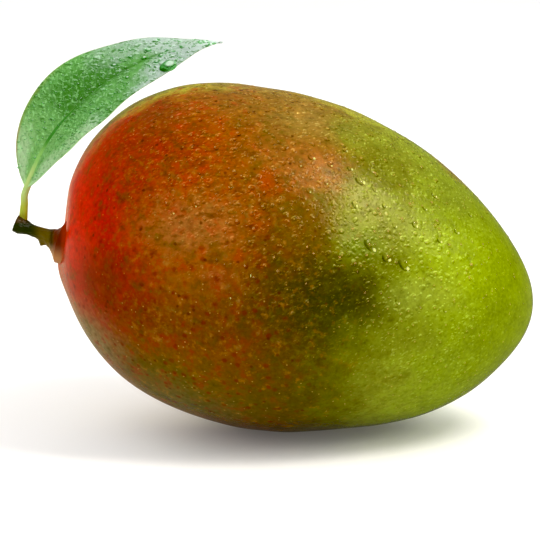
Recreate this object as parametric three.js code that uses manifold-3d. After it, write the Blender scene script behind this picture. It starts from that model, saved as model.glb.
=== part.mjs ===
// A whole mango lying on a small flat resting spot, with its stem and one leaf.
// Millimetres, +Z up. The stem end points to -X and the tip to +X.
// The origin is the middle of the resting spot, on the surface the fruit lies on.
import * as THREE from "three";
import { mergeVertices } from "three/addons/utils/BufferGeometryUtils.js";
import Module from "manifold-3d";

const wasm = await Module();
wasm.setup();

// ---- fruit: the skin's distance from the fruit's centre, as waves of the angle a from its axis
const FRUIT_CENTRE = new THREE.Vector3(-0.4, 0, 40.8);
const STEM_END_LIFT = 0.25; // radians that the axis rises towards the stem end
const MEAN_RADIUS = 52.2;
const STRETCH = 8.6; // cos 2a: longer than it is thick
const TAPER = -1.9; // cos 3a: full shoulders, slimmer towards the tip
const FULL_ENDS = 0.75; // cos 4a
const TIP_DRAW = -0.65; // cos 5a
const BACK_RISE = 3.7; // sin a, on the upper side: the high back
const BACK_SHOULDERS = 0.9; // sin 3a, on the upper side
const BACK_LEAN = 0.2; // sin 4a, on the upper side: the back is highest near the stem end
const CHEEK_SWELL = 2.0; // the two cheeks stand out to the sides, so it lies steadily
const CHEEK_SKEW = 1.5; // one cheek is fuller near the stem, the other near the tip

// Local forms of the skin: how far it rises, the angles of its centre above and beside the axis,
// and its reach, all in radians but the rise.
const BEAK = { rise: 3.5, above: 0.117, beside: 0, reach: 0.23 }; // at the tip end
const STEM_BASIN = { rise: -2.6, above: -0.03, beside: -0.05, reach: 0.12 }; // at the stem end
const CHIN = { rise: 1.3, above: -0.2, beside: 0, reach: 0.117 }; // under the stem

const FRUIT_SIDES = 64; // steps round the axis
const FRUIT_RINGS = 44; // steps from the stem end to the tip
const END_CROWDING = 0.1; // draws the rings closer together at both ends

// ---- stem: round sections carried along a route from inside the basin to its cut end
const STEM_ROUTE = [
  [-54.3, -2.8, 49.4],
  [-57.5, -2.6, 49.9],
  [-61.8, -1.4, 51.4],
  [-65.8, -0.3, 52.8],
  [-69.6, 0.1, 54.3],
];
const STEM_WAIST = 1.5; // radius of its thinnest stretch
const STEM_NECK = 1.0; // what the neck adds to the waist where it leaves the basin
const STEM_NECK_REACH = 4.0;
const STEM_FLARE = 3.2; // what the collar adds where it spreads on the skin
const STEM_FLARE_REACH = 1.3;
const STEM_END_SWELL = 0.75; // what the leaf joint adds near the cut end
const STEM_END_FROM = 8.5; // distances along the stem from the skin
const STEM_END_FULL = 12.0;
const BUD_SCAR = { rise: 1.2, along: 4.8, reach: 0.9, turn: 0.6 }; // knob on its underside
const STEM_SIDES = 24;
const STEM_STEPS = 36;

// ---- leaf: a stalk that runs on as the midrib, and a folded blade on both sides of it
const MIDRIB_ROUTE = [
  [-66.7, 1.0, 63.6],
  [-61.4, 2.6, 74.7],
  [-55.2, 3.6, 82.6],
  [-46.8, 3.6, 90.4],
  [-34.9, 2.4, 97.3],
  [-23.5, 0.2, 101.4],
  [-15.1, -3.0, 102.7],
];
const BLADE_HALF_WIDTH = 11.5;
const BLADE_BASE_POWER = 0.77; // the half width grows as t^0.77 from the base,
const BLADE_TIP_POWER = 1.28; // and falls as (1 - t)^1.28 towards the tip
const BLADE_THICKNESS = 0.7;
const BLADE_EDGE_MIN = 0.35; // half width kept at the very tip
const ROLL_BASE = 0.64; // radians the blade turns about its midrib, from facing the front
const ROLL_TIP = 1.11; // towards facing up
const FOLD_BASE = 0.34; // radians each half folds up from flat: a trough at the base,
const FOLD_TIP = -0.33; // an arch with drooping margins at the tip
const TURN_FROM = 0.3; // shares of the midrib where the roll and fold start to change,
const FOLD_UNTIL = 0.95; // where the fold has its tip value
const ROLL_UNTIL = 1; // and where the roll has its own
const MARGIN_WAVE = 0.45; // height of the waves along the margins
const MARGIN_WAVES = 3.5; // waves from base to tip
const BLADE_ROWS = 44; // along the midrib
const BLADE_COLUMNS = 14; // from margin to margin

const STALK_ROUTE = [
  [-67.6, 0.3, 54.9],
  [-67.2, 0.6, 59.3],
];
const STALK_RADIUS = 0.9;
const RIB_TIP_RADIUS = 0.35;
const RIB_END = 0.93; // share of the midrib that the raised rib follows
const RIB_SINK = 0.3; // the rib stands out on the under face
const RIB_SPANS = 5; // spans between the points that the rib is led through
const TAPER_FROM = 0.1; // share of the stalk's whole length where it starts to taper
const STALK_SIDES = 12;
const STALK_STEPS = 40;
const STALK_FOOT_FLARE = 0.25; // the stalk widens where it stands on the stem
const STALK_FOOT_REACH = 0.06; // as a share of the stalk's whole length

const JOINT_GAP = 0.3; // clearance kept between touching pieces
const MERGE_DISTANCE = 1e-4; // corners closer than this are one

const { clamp, lerp, smoothstep } = THREE.MathUtils;

// ---- solids ---------------------------------------------------------------------------------

/** A closed solid from a geometry whose faces point outwards. */
function solidFrom(geometry) {
  geometry.deleteAttribute("normal");
  geometry.deleteAttribute("uv");
  const merged = mergeVertices(geometry, MERGE_DISTANCE);
  return new wasm.Manifold(
    new wasm.Mesh({
      numProp: 3,
      vertProperties: new Float32Array(merged.attributes.position.array),
      triVerts: new Uint32Array(merged.index.array),
    }),
  );
}

/** A named mesh of a finished solid. */
function piece(name, solid, color, roughness) {
  const { vertProperties, triVerts, numProp } = solid.getMesh();
  const geometry = new THREE.BufferGeometry();
  const corners = new THREE.InterleavedBuffer(vertProperties, numProp);
  geometry.setAttribute("position", new THREE.InterleavedBufferAttribute(corners, 3, 0));
  geometry.setIndex(new THREE.BufferAttribute(triVerts, 1));
  geometry.computeVertexNormals();
  const material = new THREE.MeshStandardMaterial({ color, roughness, metalness: 0 });
  const mesh = new THREE.Mesh(geometry, material);
  mesh.name = name;
  return mesh;
}

/** Moves every corner of a geometry to where place(corner) puts it. */
function reshape(geometry, place) {
  const { position } = geometry.attributes;
  const corner = new THREE.Vector3();
  for (let i = 0; i < position.count; i += 1) {
    corner.fromBufferAttribute(position, i);
    const moved = place(corner);
    position.setXYZ(i, moved.x, moved.y, moved.z);
  }
  return geometry;
}

// ---- fruit ----------------------------------------------------------------------------------

/** Direction from the fruit's centre, from its shares to the stem end, the back and the side. */
function fruitDirection(toStem, toBack, toSide) {
  const [cosLift, sinLift] = [Math.cos(STEM_END_LIFT), Math.sin(STEM_END_LIFT)];
  return new THREE.Vector3(
    -toStem * cosLift + toBack * sinLift,
    toSide,
    toStem * sinLift + toBack * cosLift,
  );
}

/** A soft rise of the skin round one direction: rise * exp(-(angle / reach)^2). */
function localForm(form, towardsEnd, toBack, toSide) {
  const inPlane = towardsEnd * Math.cos(form.above) + toBack * Math.sin(form.above);
  const nearness = inPlane * Math.cos(form.beside) + toSide * Math.sin(form.beside);
  const angle = Math.acos(clamp(nearness, -1, 1));
  return form.rise * Math.exp(-((angle / form.reach) ** 2));
}

/** Distance from the fruit's centre to its skin. */
function skinRadius(toStem, toBack, toSide) {
  const a = Math.acos(clamp(toStem, -1, 1));
  const ends =
    STRETCH * Math.cos(2 * a) +
    TAPER * Math.cos(3 * a) +
    FULL_ENDS * Math.cos(4 * a) +
    TIP_DRAW * Math.cos(5 * a);
  // sin 3a / sin a and sin 4a / sin a, because toBack already holds sin a
  const shoulders = 4 * toStem ** 2 - 1;
  const lean = 8 * toStem ** 3 - 4 * toStem;
  const back = toBack * (BACK_RISE + BACK_SHOULDERS * shoulders + BACK_LEAN * lean);
  const cheeks = CHEEK_SWELL * toSide ** 2 + CHEEK_SKEW * toStem * toSide;
  const forms =
    localForm(BEAK, -toStem, toBack, toSide) +
    localForm(STEM_BASIN, toStem, toBack, toSide) +
    localForm(CHIN, toStem, toBack, toSide);
  return MEAN_RADIUS + ends + back + cheeks + forms;
}

/** The fruit's solid, grown outwards by a clearance, before its resting spot is cut. */
function fruitSolid(clearance = 0) {
  const ball = new THREE.SphereGeometry(1, FRUIT_SIDES, FRUIT_RINGS);
  const shaped = reshape(ball, (corner) => {
    const t = Math.acos(clamp(corner.y, -1, 1)) / Math.PI;
    const a = Math.PI * (t - END_CROWDING * Math.sin(2 * Math.PI * t));
    const round = Math.atan2(corner.z, corner.x);
    const toStem = Math.cos(a);
    const toSide = Math.sin(a) * Math.cos(round);
    const toBack = Math.sin(a) * Math.sin(round);
    const radius = skinRadius(toStem, toBack, toSide) + clearance;
    return fruitDirection(toStem, toBack, toSide).multiplyScalar(radius).add(FRUIT_CENTRE);
  });
  return solidFrom(shaped);
}

/** A block that reaches up to the surface the fruit lies on. */
function groundBlock() {
  const size = 4 * MEAN_RADIUS;
  return solidFrom(new THREE.BoxGeometry(size, size, size).translate(0, 0, -size / 2));
}

// ---- stem -----------------------------------------------------------------------------------

/** Radius of the stem at a distance from the skin, in a direction round it (0 is underneath). */
function stemRadius(distance, turn) {
  const neck = STEM_NECK * Math.exp(-((distance / STEM_NECK_REACH) ** 2));
  const flare = STEM_FLARE * Math.exp(-Math.max(distance, 0) / STEM_FLARE_REACH);
  const end = STEM_END_SWELL * smoothstep(distance, STEM_END_FROM, STEM_END_FULL);
  const along = (distance - BUD_SCAR.along) / BUD_SCAR.reach;
  const knob = BUD_SCAR.rise * Math.exp(-(along ** 2) - (turn / BUD_SCAR.turn) ** 2);
  return STEM_WAIST + neck + flare + end + knob;
}

/** A smooth curve through the points of a route. */
function curveThrough(route) {
  const points = route.map((at) => new THREE.Vector3(...at));
  return new THREE.CatmullRomCurve3(points, false, "catmullrom");
}

/** A round bar along a curve that lies near the X-Z plane: radiusAt(share, turn from below). */
function barAlong(curve, sides, steps, radiusAt) {
  const bar = new THREE.CylinderGeometry(1, 1, 1, sides, steps);
  return reshape(bar, (corner) => {
    const share = clamp(corner.y + 0.5, 0, 1);
    const tangent = curve.getTangentAt(share);
    const side = new THREE.Vector3(0, -1, 0).addScaledVector(tangent, tangent.y).normalize();
    const below = new THREE.Vector3().crossVectors(side, tangent);
    const radius = Math.hypot(corner.x, corner.z) * radiusAt(share, Math.atan2(corner.x, corner.z));
    const out = new THREE.Vector2(corner.z, corner.x).normalize().multiplyScalar(radius);
    return curve.getPointAt(share).addScaledVector(below, out.x).addScaledVector(side, out.y);
  });
}

/** The stem's solid, grown outwards by a clearance, before it is fitted to the skin. */
function stemSolid(clearance = 0) {
  const route = curveThrough(STEM_ROUTE);
  const length = route.getLength();
  const [foot, atSkin] = STEM_ROUTE.map((at) => new THREE.Vector3(...at));
  const inside = foot.distanceTo(atSkin);
  const radiusAt = (share, turn) => stemRadius(share * length - inside, turn) + clearance;
  return solidFrom(barAlong(route, STEM_SIDES, STEM_STEPS, radiusAt));
}

// ---- leaf -----------------------------------------------------------------------------------

const midrib = curveThrough(MIDRIB_ROUTE);

/** Half width of the blade at a share t of the midrib, widest where t^p (1-t)^q peaks. */
function bladeHalfWidth(t) {
  const widest = BLADE_BASE_POWER / (BLADE_BASE_POWER + BLADE_TIP_POWER);
  const shape = (at) => at ** BLADE_BASE_POWER * (1 - at) ** BLADE_TIP_POWER;
  return Math.max((BLADE_HALF_WIDTH * shape(t)) / shape(widest), BLADE_EDGE_MIN);
}

/** Point of the blade at a share t of the midrib and v across it, from -1 (upper) to 1 (lower). */
function bladePoint(t, v, lift) {
  const tangent = midrib.getTangent(t);
  const front = new THREE.Vector3(0, -1, 0).addScaledVector(tangent, tangent.y).normalize();
  const across = new THREE.Vector3().crossVectors(tangent, front);
  const fold = lerp(FOLD_BASE, FOLD_TIP, smoothstep(t, TURN_FROM, FOLD_UNTIL));
  const roll = lerp(ROLL_BASE, ROLL_TIP, smoothstep(t, TURN_FROM, ROLL_UNTIL)) + Math.sign(v) * fold;
  const facing = front.clone().multiplyScalar(Math.cos(roll)).addScaledVector(across, -Math.sin(roll));
  const outwards = across.multiplyScalar(Math.cos(roll)).addScaledVector(front, Math.sin(roll));
  const ripple = Math.sin(2 * Math.PI * MARGIN_WAVES * t + v) * Math.sin(Math.PI * t);
  const wave = MARGIN_WAVE * v ** 2 * ripple;
  return midrib.getPoint(t)
    .addScaledVector(outwards, v * bladeHalfWidth(t))
    .addScaledVector(facing, lift + wave);
}

/** A closed sheet, both faces split into triangles alike: pointAt(row share, column -1..1, lift). */
function sheetGeometry(rows, columns, thickness, pointAt) {
  const corners = [];
  const faces = [];
  const perFace = (rows + 1) * (columns + 1);
  for (const lift of [thickness / 2, -thickness / 2]) {
    for (let row = 0; row <= rows; row += 1) {
      for (let column = 0; column <= columns; column += 1) {
        corners.push(...pointAt(row / rows, (2 * column) / columns - 1, lift).toArray());
      }
    }
  }
  const at = (row, column) => row * (columns + 1) + column;
  for (let row = 0; row < rows; row += 1) {
    for (let column = 0; column < columns; column += 1) {
      const [a, b] = [at(row, column), at(row, column + 1)];
      const [c, d] = [at(row + 1, column + 1), at(row + 1, column)];
      faces.push(a, b, c, a, c, d);
      faces.push(c + perFace, b + perFace, a + perFace, d + perFace, c + perFace, a + perFace);
    }
  }
  const rim = [];
  for (let column = 0; column < columns; column += 1) {
    rim.push(at(0, column));
  }
  for (let row = 0; row < rows; row += 1) {
    rim.push(at(row, columns));
  }
  for (let column = columns; column > 0; column -= 1) {
    rim.push(at(rows, column));
  }
  for (let row = rows; row > 0; row -= 1) {
    rim.push(at(row, 0));
  }
  rim.forEach((corner, i) => {
    const next = rim[(i + 1) % rim.length];
    faces.push(corner, corner + perFace, next + perFace, corner, next + perFace, next);
  });
  const geometry = new THREE.BufferGeometry();
  geometry.setAttribute("position", new THREE.Float32BufferAttribute(corners, 3));
  geometry.setIndex(faces);
  return geometry;
}

/** Stalk and rib in one tapering bar, from inside the stem along the midrib. */
function stalkSolid() {
  const ribRoute = [];
  for (let span = 0; span <= RIB_SPANS; span += 1) {
    ribRoute.push(bladePoint((RIB_END * span) / RIB_SPANS, 0, -RIB_SINK).toArray());
  }
  const route = curveThrough([...STALK_ROUTE, ...ribRoute]);
  const radiusAt = (share) => {
    const foot = STALK_FOOT_FLARE * Math.exp(-((share / STALK_FOOT_REACH) ** 2));
    return lerp(STALK_RADIUS, RIB_TIP_RADIUS, smoothstep(share, TAPER_FROM, 1)) + foot;
  };
  return solidFrom(barAlong(route, STALK_SIDES, STALK_STEPS, radiusAt));
}

// ---- the mango ------------------------------------------------------------------------------

const blade = solidFrom(sheetGeometry(BLADE_ROWS, BLADE_COLUMNS, BLADE_THICKNESS, bladePoint));

const fruit = fruitSolid().subtract(groundBlock());
const stem = stemSolid().subtract(fruitSolid(JOINT_GAP));
const leaf = blade.add(stalkSolid()).subtract(stemSolid(JOINT_GAP));

const group = new THREE.Group();
group.add(
  piece("fruit", fruit, 0xa8461c, 0.38),
  piece("stem", stem, 0x4a3a16, 0.6),
  piece("leaf", leaf, 0x2f8a34, 0.4),
);

export default group;
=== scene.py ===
"""A whole mango with its stem and one leaf, wet with fine drops of water, on a pale floor.

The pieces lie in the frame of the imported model: +Z up, the stem end towards -X, the tip towards +X,
and the origin in the middle of the flat spot that the fruit rests on. Sizes are written in
millimetres, and become metres where a mesh is made.
"""

import logging
import math
from collections.abc import Sequence
from dataclasses import dataclass, field
from enum import Enum
from typing import Any

import bpy
import numpy as np
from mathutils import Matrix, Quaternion, Vector


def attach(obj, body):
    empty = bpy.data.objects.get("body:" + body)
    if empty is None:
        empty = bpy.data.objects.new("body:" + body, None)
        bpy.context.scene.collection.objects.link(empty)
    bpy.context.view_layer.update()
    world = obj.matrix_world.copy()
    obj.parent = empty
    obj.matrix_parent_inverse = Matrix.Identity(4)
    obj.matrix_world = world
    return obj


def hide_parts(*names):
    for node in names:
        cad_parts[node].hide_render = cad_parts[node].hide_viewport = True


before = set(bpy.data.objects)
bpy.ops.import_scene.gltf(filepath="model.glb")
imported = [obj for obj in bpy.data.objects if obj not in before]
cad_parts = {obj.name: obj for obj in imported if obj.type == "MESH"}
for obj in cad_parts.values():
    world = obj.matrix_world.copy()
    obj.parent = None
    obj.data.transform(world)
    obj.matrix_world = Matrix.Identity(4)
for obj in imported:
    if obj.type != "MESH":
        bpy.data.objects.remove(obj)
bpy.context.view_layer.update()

MM = 0.001
BODY = "root"
UV_MAP = "along_and_across"
BLACK = (0.0, 0.0, 0.0)
WHITE = (1.0, 1.0, 1.0)
GOLDEN_ANGLE = math.pi * (3 - math.sqrt(5))
LENGTH_STEPS = 200  # steps in each span of a route when its length is measured

Array = np.ndarray
Colour = tuple[float, float, float]
Place = tuple[float, float, float]  # three numbers for X, Y and Z
Span = tuple[float, float]  # the two ends of a stretch or of a range
LOG = logging.getLogger("mango")


class Slot(Enum):
    """The material slots, by name."""

    SKIN = "mango_skin"
    BARK = "stem_bark"
    LEAF = "leaf_green"


# ---- numbers and curves ----


def smoothstep(value: Array | float, low: float, high: float) -> Array:
    """Rise from 0 at low to 1 at high, as 3 s^2 - 2 s^3 of the share s between them.

    Args:
        value: where to read the rise.
        low: where it is still 0.
        high: where it has reached 1.

    Returns:
        The rise at each value.
    """
    share = np.clip((value - low) / (high - low), 0, 1)
    return share * share * (3 - 2 * share)


def between(first: Array | float, last: Array | float, share: Array | float) -> Array:
    """The point a share of the way from first to last."""
    return first + (last - first) * share


def unit(vectors: Array) -> Array:
    """The vectors along the last axis, each at length 1."""
    return vectors / np.linalg.norm(vectors, axis=-1, keepdims=True)


def bell(value: Array | float, reach: float) -> Array:
    """A soft hump, exp(-(value / reach)^2)."""
    return np.exp(-((value / reach) ** 2))


class Route:
    """A smooth curve through a few points.

    Each span is the cubic that leaves and meets its end points along the line between their
    neighbours, which is the uniform Catmull-Rom spline, with mirrored neighbours at both ends.
    """

    def __init__(self, points: Sequence[Sequence[float]]) -> None:
        inner = np.asarray(points, float)
        before = 2 * inner[0] - inner[1]
        after = 2 * inner[-1] - inner[-2]
        self.points = np.vstack([before, inner, after])
        self.spans = len(inner) - 1
        self.shares = np.linspace(0, 1, self.spans * LENGTH_STEPS + 1)
        steps = np.linalg.norm(np.diff(self.at(self.shares), axis=0), axis=1)
        self.lengths = np.concatenate([[0.0], np.cumsum(steps)])

    def _span(self, shares: Array) -> tuple[Array, Array]:
        """The place in its span of each share, and the span's four points stacked in front."""
        place = np.clip(shares, 0, 1) * self.spans
        span = np.minimum(place.astype(int), self.spans - 1)
        corners = np.stack([self.points[span + k] for k in range(4)])
        return (place - span)[..., None], corners

    def at(self, shares: Array) -> Array:
        """Points of the curve.

        Args:
            shares: from 0 to 1, alike for each span.

        Returns:
            The points: half of 2 b + (c - a) u + (2 a - 5 b + 4 c - d) u^2 + (3 b - a - 3 c + d) u^3.
        """
        u, (a, b, c, d) = self._span(np.asarray(shares, float))
        square = 2 * a - 5 * b + 4 * c - d
        cube = 3 * b - a - 3 * c + d
        return 0.5 * (2 * b + (c - a) * u + square * u**2 + cube * u**3)

    def tangent(self, shares: Array) -> Array:
        """Directions of the curve at shares of its spans: the cubic's slope, at length 1."""
        u, (a, b, c, d) = self._span(np.asarray(shares, float))
        square = 2 * a - 5 * b + 4 * c - d
        cube = 3 * b - a - 3 * c + d
        return unit((c - a) + 2 * square * u + 3 * cube * u**2)

    def by_length(self, shares: Array) -> Array:
        """Shares of the spans at shares of the whole length."""
        return np.interp(np.asarray(shares) * self.lengths[-1], self.lengths, self.shares)

    @property
    def length(self) -> float:
        """The whole length."""
        return float(self.lengths[-1])


def facing_frame(tangent: Array) -> tuple[Array, Array]:
    """The two directions across a curve that lies near the X-Z plane.

    Args:
        tangent: unit directions of the curve.

    Returns:
        The direction nearest to -Y, and the one at right angles to it and the tangent, which is
        below the curve where it runs towards -X.
    """
    front = unit(np.array([0.0, -1.0, 0.0]) + tangent * tangent[..., 1:2])
    return front, np.cross(front, tangent)


# ---- closed shells ----


@dataclass
class Shell:
    """A closed surface in millimetres, before it becomes a mesh.

    Attributes:
        points: one row per vertex.
        faces: arrays of vertex numbers, one for the quads and one for the triangles.
        places: the map coordinates of each face's corners, shaped as faces, or nothing.
    """

    points: Array
    faces: list[Array]
    places: list[Array] = field(default_factory=list)

    def volume(self) -> float:
        """Signed volume, a sixth of the sum of a . (b x c) over the triangles."""
        total = 0.0
        for corners in self.faces:
            for second in range(1, corners.shape[1] - 1):
                a, b, c = (self.points[corners[:, k]] for k in (0, second, second + 1))
                total += float((a * np.cross(b, c)).sum()) / 6
        return total

    def outwards(self) -> "Shell":
        """The same shell with every face turned to point out."""
        if self.volume() >= 0:
            return self
        flipped = [corners[:, ::-1] for corners in self.faces]
        return Shell(self.points, flipped, [place[:, ::-1] for place in self.places])

    def build(self, name: str) -> bpy.types.Object:
        """Makes the shell a smooth mesh object at the origin.

        Args:
            name: the piece's name.

        Returns:
            The object, linked to the scene.
        """
        shell = self.outwards()
        mesh = bpy.data.meshes.new(name)
        faces = [row for corners in shell.faces for row in corners.tolist()]
        mesh.from_pydata((shell.points * MM).tolist(), [], faces)
        if shell.places:
            layer = mesh.uv_layers.new(name=UV_MAP)
            spread = np.concatenate([place.reshape(-1, 2) for place in shell.places])
            layer.uv.foreach_set("vector", spread.astype(np.float32).ravel())
        mesh.shade_smooth()
        piece = bpy.data.objects.new(name, mesh)
        bpy.context.scene.collection.objects.link(piece)
        return piece


def tube(grid: Array, start: Array, end: Array, along: Array, around: Array) -> Shell:
    """A shell from a grid that closes on itself across, with a fan to one point at each end.

    Args:
        grid: points by row along the piece and column round it.
        start: the point that closes the first row.
        end: the point that closes the last row.
        along: map coordinate of each row.
        around: map coordinate of each column, and of the first one again after the last.

    Returns:
        The closed shell with its map coordinates.
    """
    rows, columns = grid.shape[:2]
    row, column = np.meshgrid(np.arange(rows - 1), np.arange(columns), indexing="ij")
    following = (column + 1) % columns
    ring = (row * columns, (row + 1) * columns)
    corners = [ring[0] + column, ring[0] + following, ring[1] + following, ring[1] + column]
    quads = np.stack(corners, -1).reshape(-1, 4)
    near, far = along[row], along[row + 1]
    left, right = around[column], around[column + 1]
    flat = np.stack([near, left, near, right, far, right, far, left], -1).reshape(-1, 4, 2)

    each = np.arange(columns)
    after = (each + 1) % columns
    last = (rows - 1) * columns
    poles = rows * columns + np.arange(2)
    first_fan = np.stack([after, each, np.full(columns, poles[0])], -1)
    last_fan = np.stack([last + each, last + after, np.full(columns, poles[1])], -1)
    middle = (around[:-1] + around[1:]) / 2
    fans = []
    for edge, pair in ((along[0], (around[1:], around[:-1])), (along[-1], (around[:-1], around[1:]))):
        level = np.full(columns, edge)
        fans.append(np.stack([level, pair[0], level, pair[1], level, middle], -1).reshape(-1, 3, 2))
    points = np.vstack([grid.reshape(-1, 3), start, end])
    return Shell(points, [quads, np.vstack([first_fan, last_fan])], [flat, np.vstack(fans)])


def round_bar(route: Route, shares: Array, turns: Array, radii: Array) -> Array:
    """Points of a round bar: centre + below * r cos(turn) + front * r sin(turn).

    Args:
        route: the bar's centre line.
        shares: shares of its length, one for each row.
        turns: angles round it from below, one for each column.
        radii: the radius at each row and column.

    Returns:
        The grid of points.
    """
    spans = route.by_length(shares)
    front, below = facing_frame(route.tangent(spans))
    down = below[:, None] * np.cos(turns)[None, :, None]
    ahead = front[:, None] * np.sin(turns)[None, :, None]
    return route.at(spans)[:, None] + (down + ahead) * radii[..., None]


# ---- node trees ----


@dataclass(frozen=True, eq=False)
class Signal:
    """A number that a node gives out. Arithmetic on it adds Math nodes to its tree."""

    graph: "Graph"
    socket: bpy.types.NodeSocket

    def _math(self, operation: str, *values: Any) -> "Signal":
        """A Math node's result, from its inputs in order."""
        inputs = dict(enumerate(values))
        return self.graph.add("ShaderNodeMath", {"operation": operation}, inputs)

    def __add__(self, other: Any) -> "Signal":
        """self + other."""
        return self._math("ADD", self, other)

    def __radd__(self, other: Any) -> "Signal":
        """other + self."""
        return self._math("ADD", other, self)

    def __sub__(self, other: Any) -> "Signal":
        """self - other."""
        return self._math("SUBTRACT", self, other)

    def __rsub__(self, other: Any) -> "Signal":
        """other - self."""
        return self._math("SUBTRACT", other, self)

    def __mul__(self, other: Any) -> "Signal":
        """self * other."""
        return self._math("MULTIPLY", self, other)

    def __rmul__(self, other: Any) -> "Signal":
        """other * self."""
        return self._math("MULTIPLY", other, self)

    def __truediv__(self, other: Any) -> "Signal":
        """self / other."""
        return self._math("DIVIDE", self, other)

    def __pow__(self, other: Any) -> "Signal":
        """self to the power of other."""
        return self._math("POWER", self, other)

    def __rpow__(self, other: Any) -> "Signal":
        """other to the power of self."""
        return self._math("POWER", other, self)

    def __neg__(self) -> "Signal":
        """self times -1."""
        return self._math("MULTIPLY", self, -1)

    def __abs__(self) -> "Signal":
        """Size of self without its sign."""
        return self._math("ABSOLUTE", self)

    def most(self, other: Any) -> "Signal":
        """The larger of self and other."""
        return self._math("MAXIMUM", self, other)

    def rounded(self) -> "Signal":
        """The whole number nearest to self."""
        return self._math("ROUND", self)

    def dome(self) -> "Signal":
        """A round hump, 1 - (2 self)^2, and 0 where that is below 0."""
        return (1 - (self * 2.0) ** 2).most(0)

    def bell(self, reach: float) -> "Signal":
        """A soft hump, exp(-(self / reach)^2)."""
        return math.e ** -((self / reach) ** 2)

    def rise(self, low: float, high: float) -> "Signal":
        """Smooth rise from 0 at low to 1 at high.

        Args:
            low: where it is still 0.
            high: where it has reached 1.

        Returns:
            The rise, as a number from 0 to 1.
        """
        settings = {"interpolation_type": "SMOOTHSTEP"}
        inputs = {"Value": self, "From Min": low, "From Max": high}
        return self.graph.add("ShaderNodeMapRange", settings, inputs)

    def fall(self, low: float, high: float) -> "Signal":
        """Smooth fall from 1 at low to 0 at high."""
        return 1 - self.rise(low, high)


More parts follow.
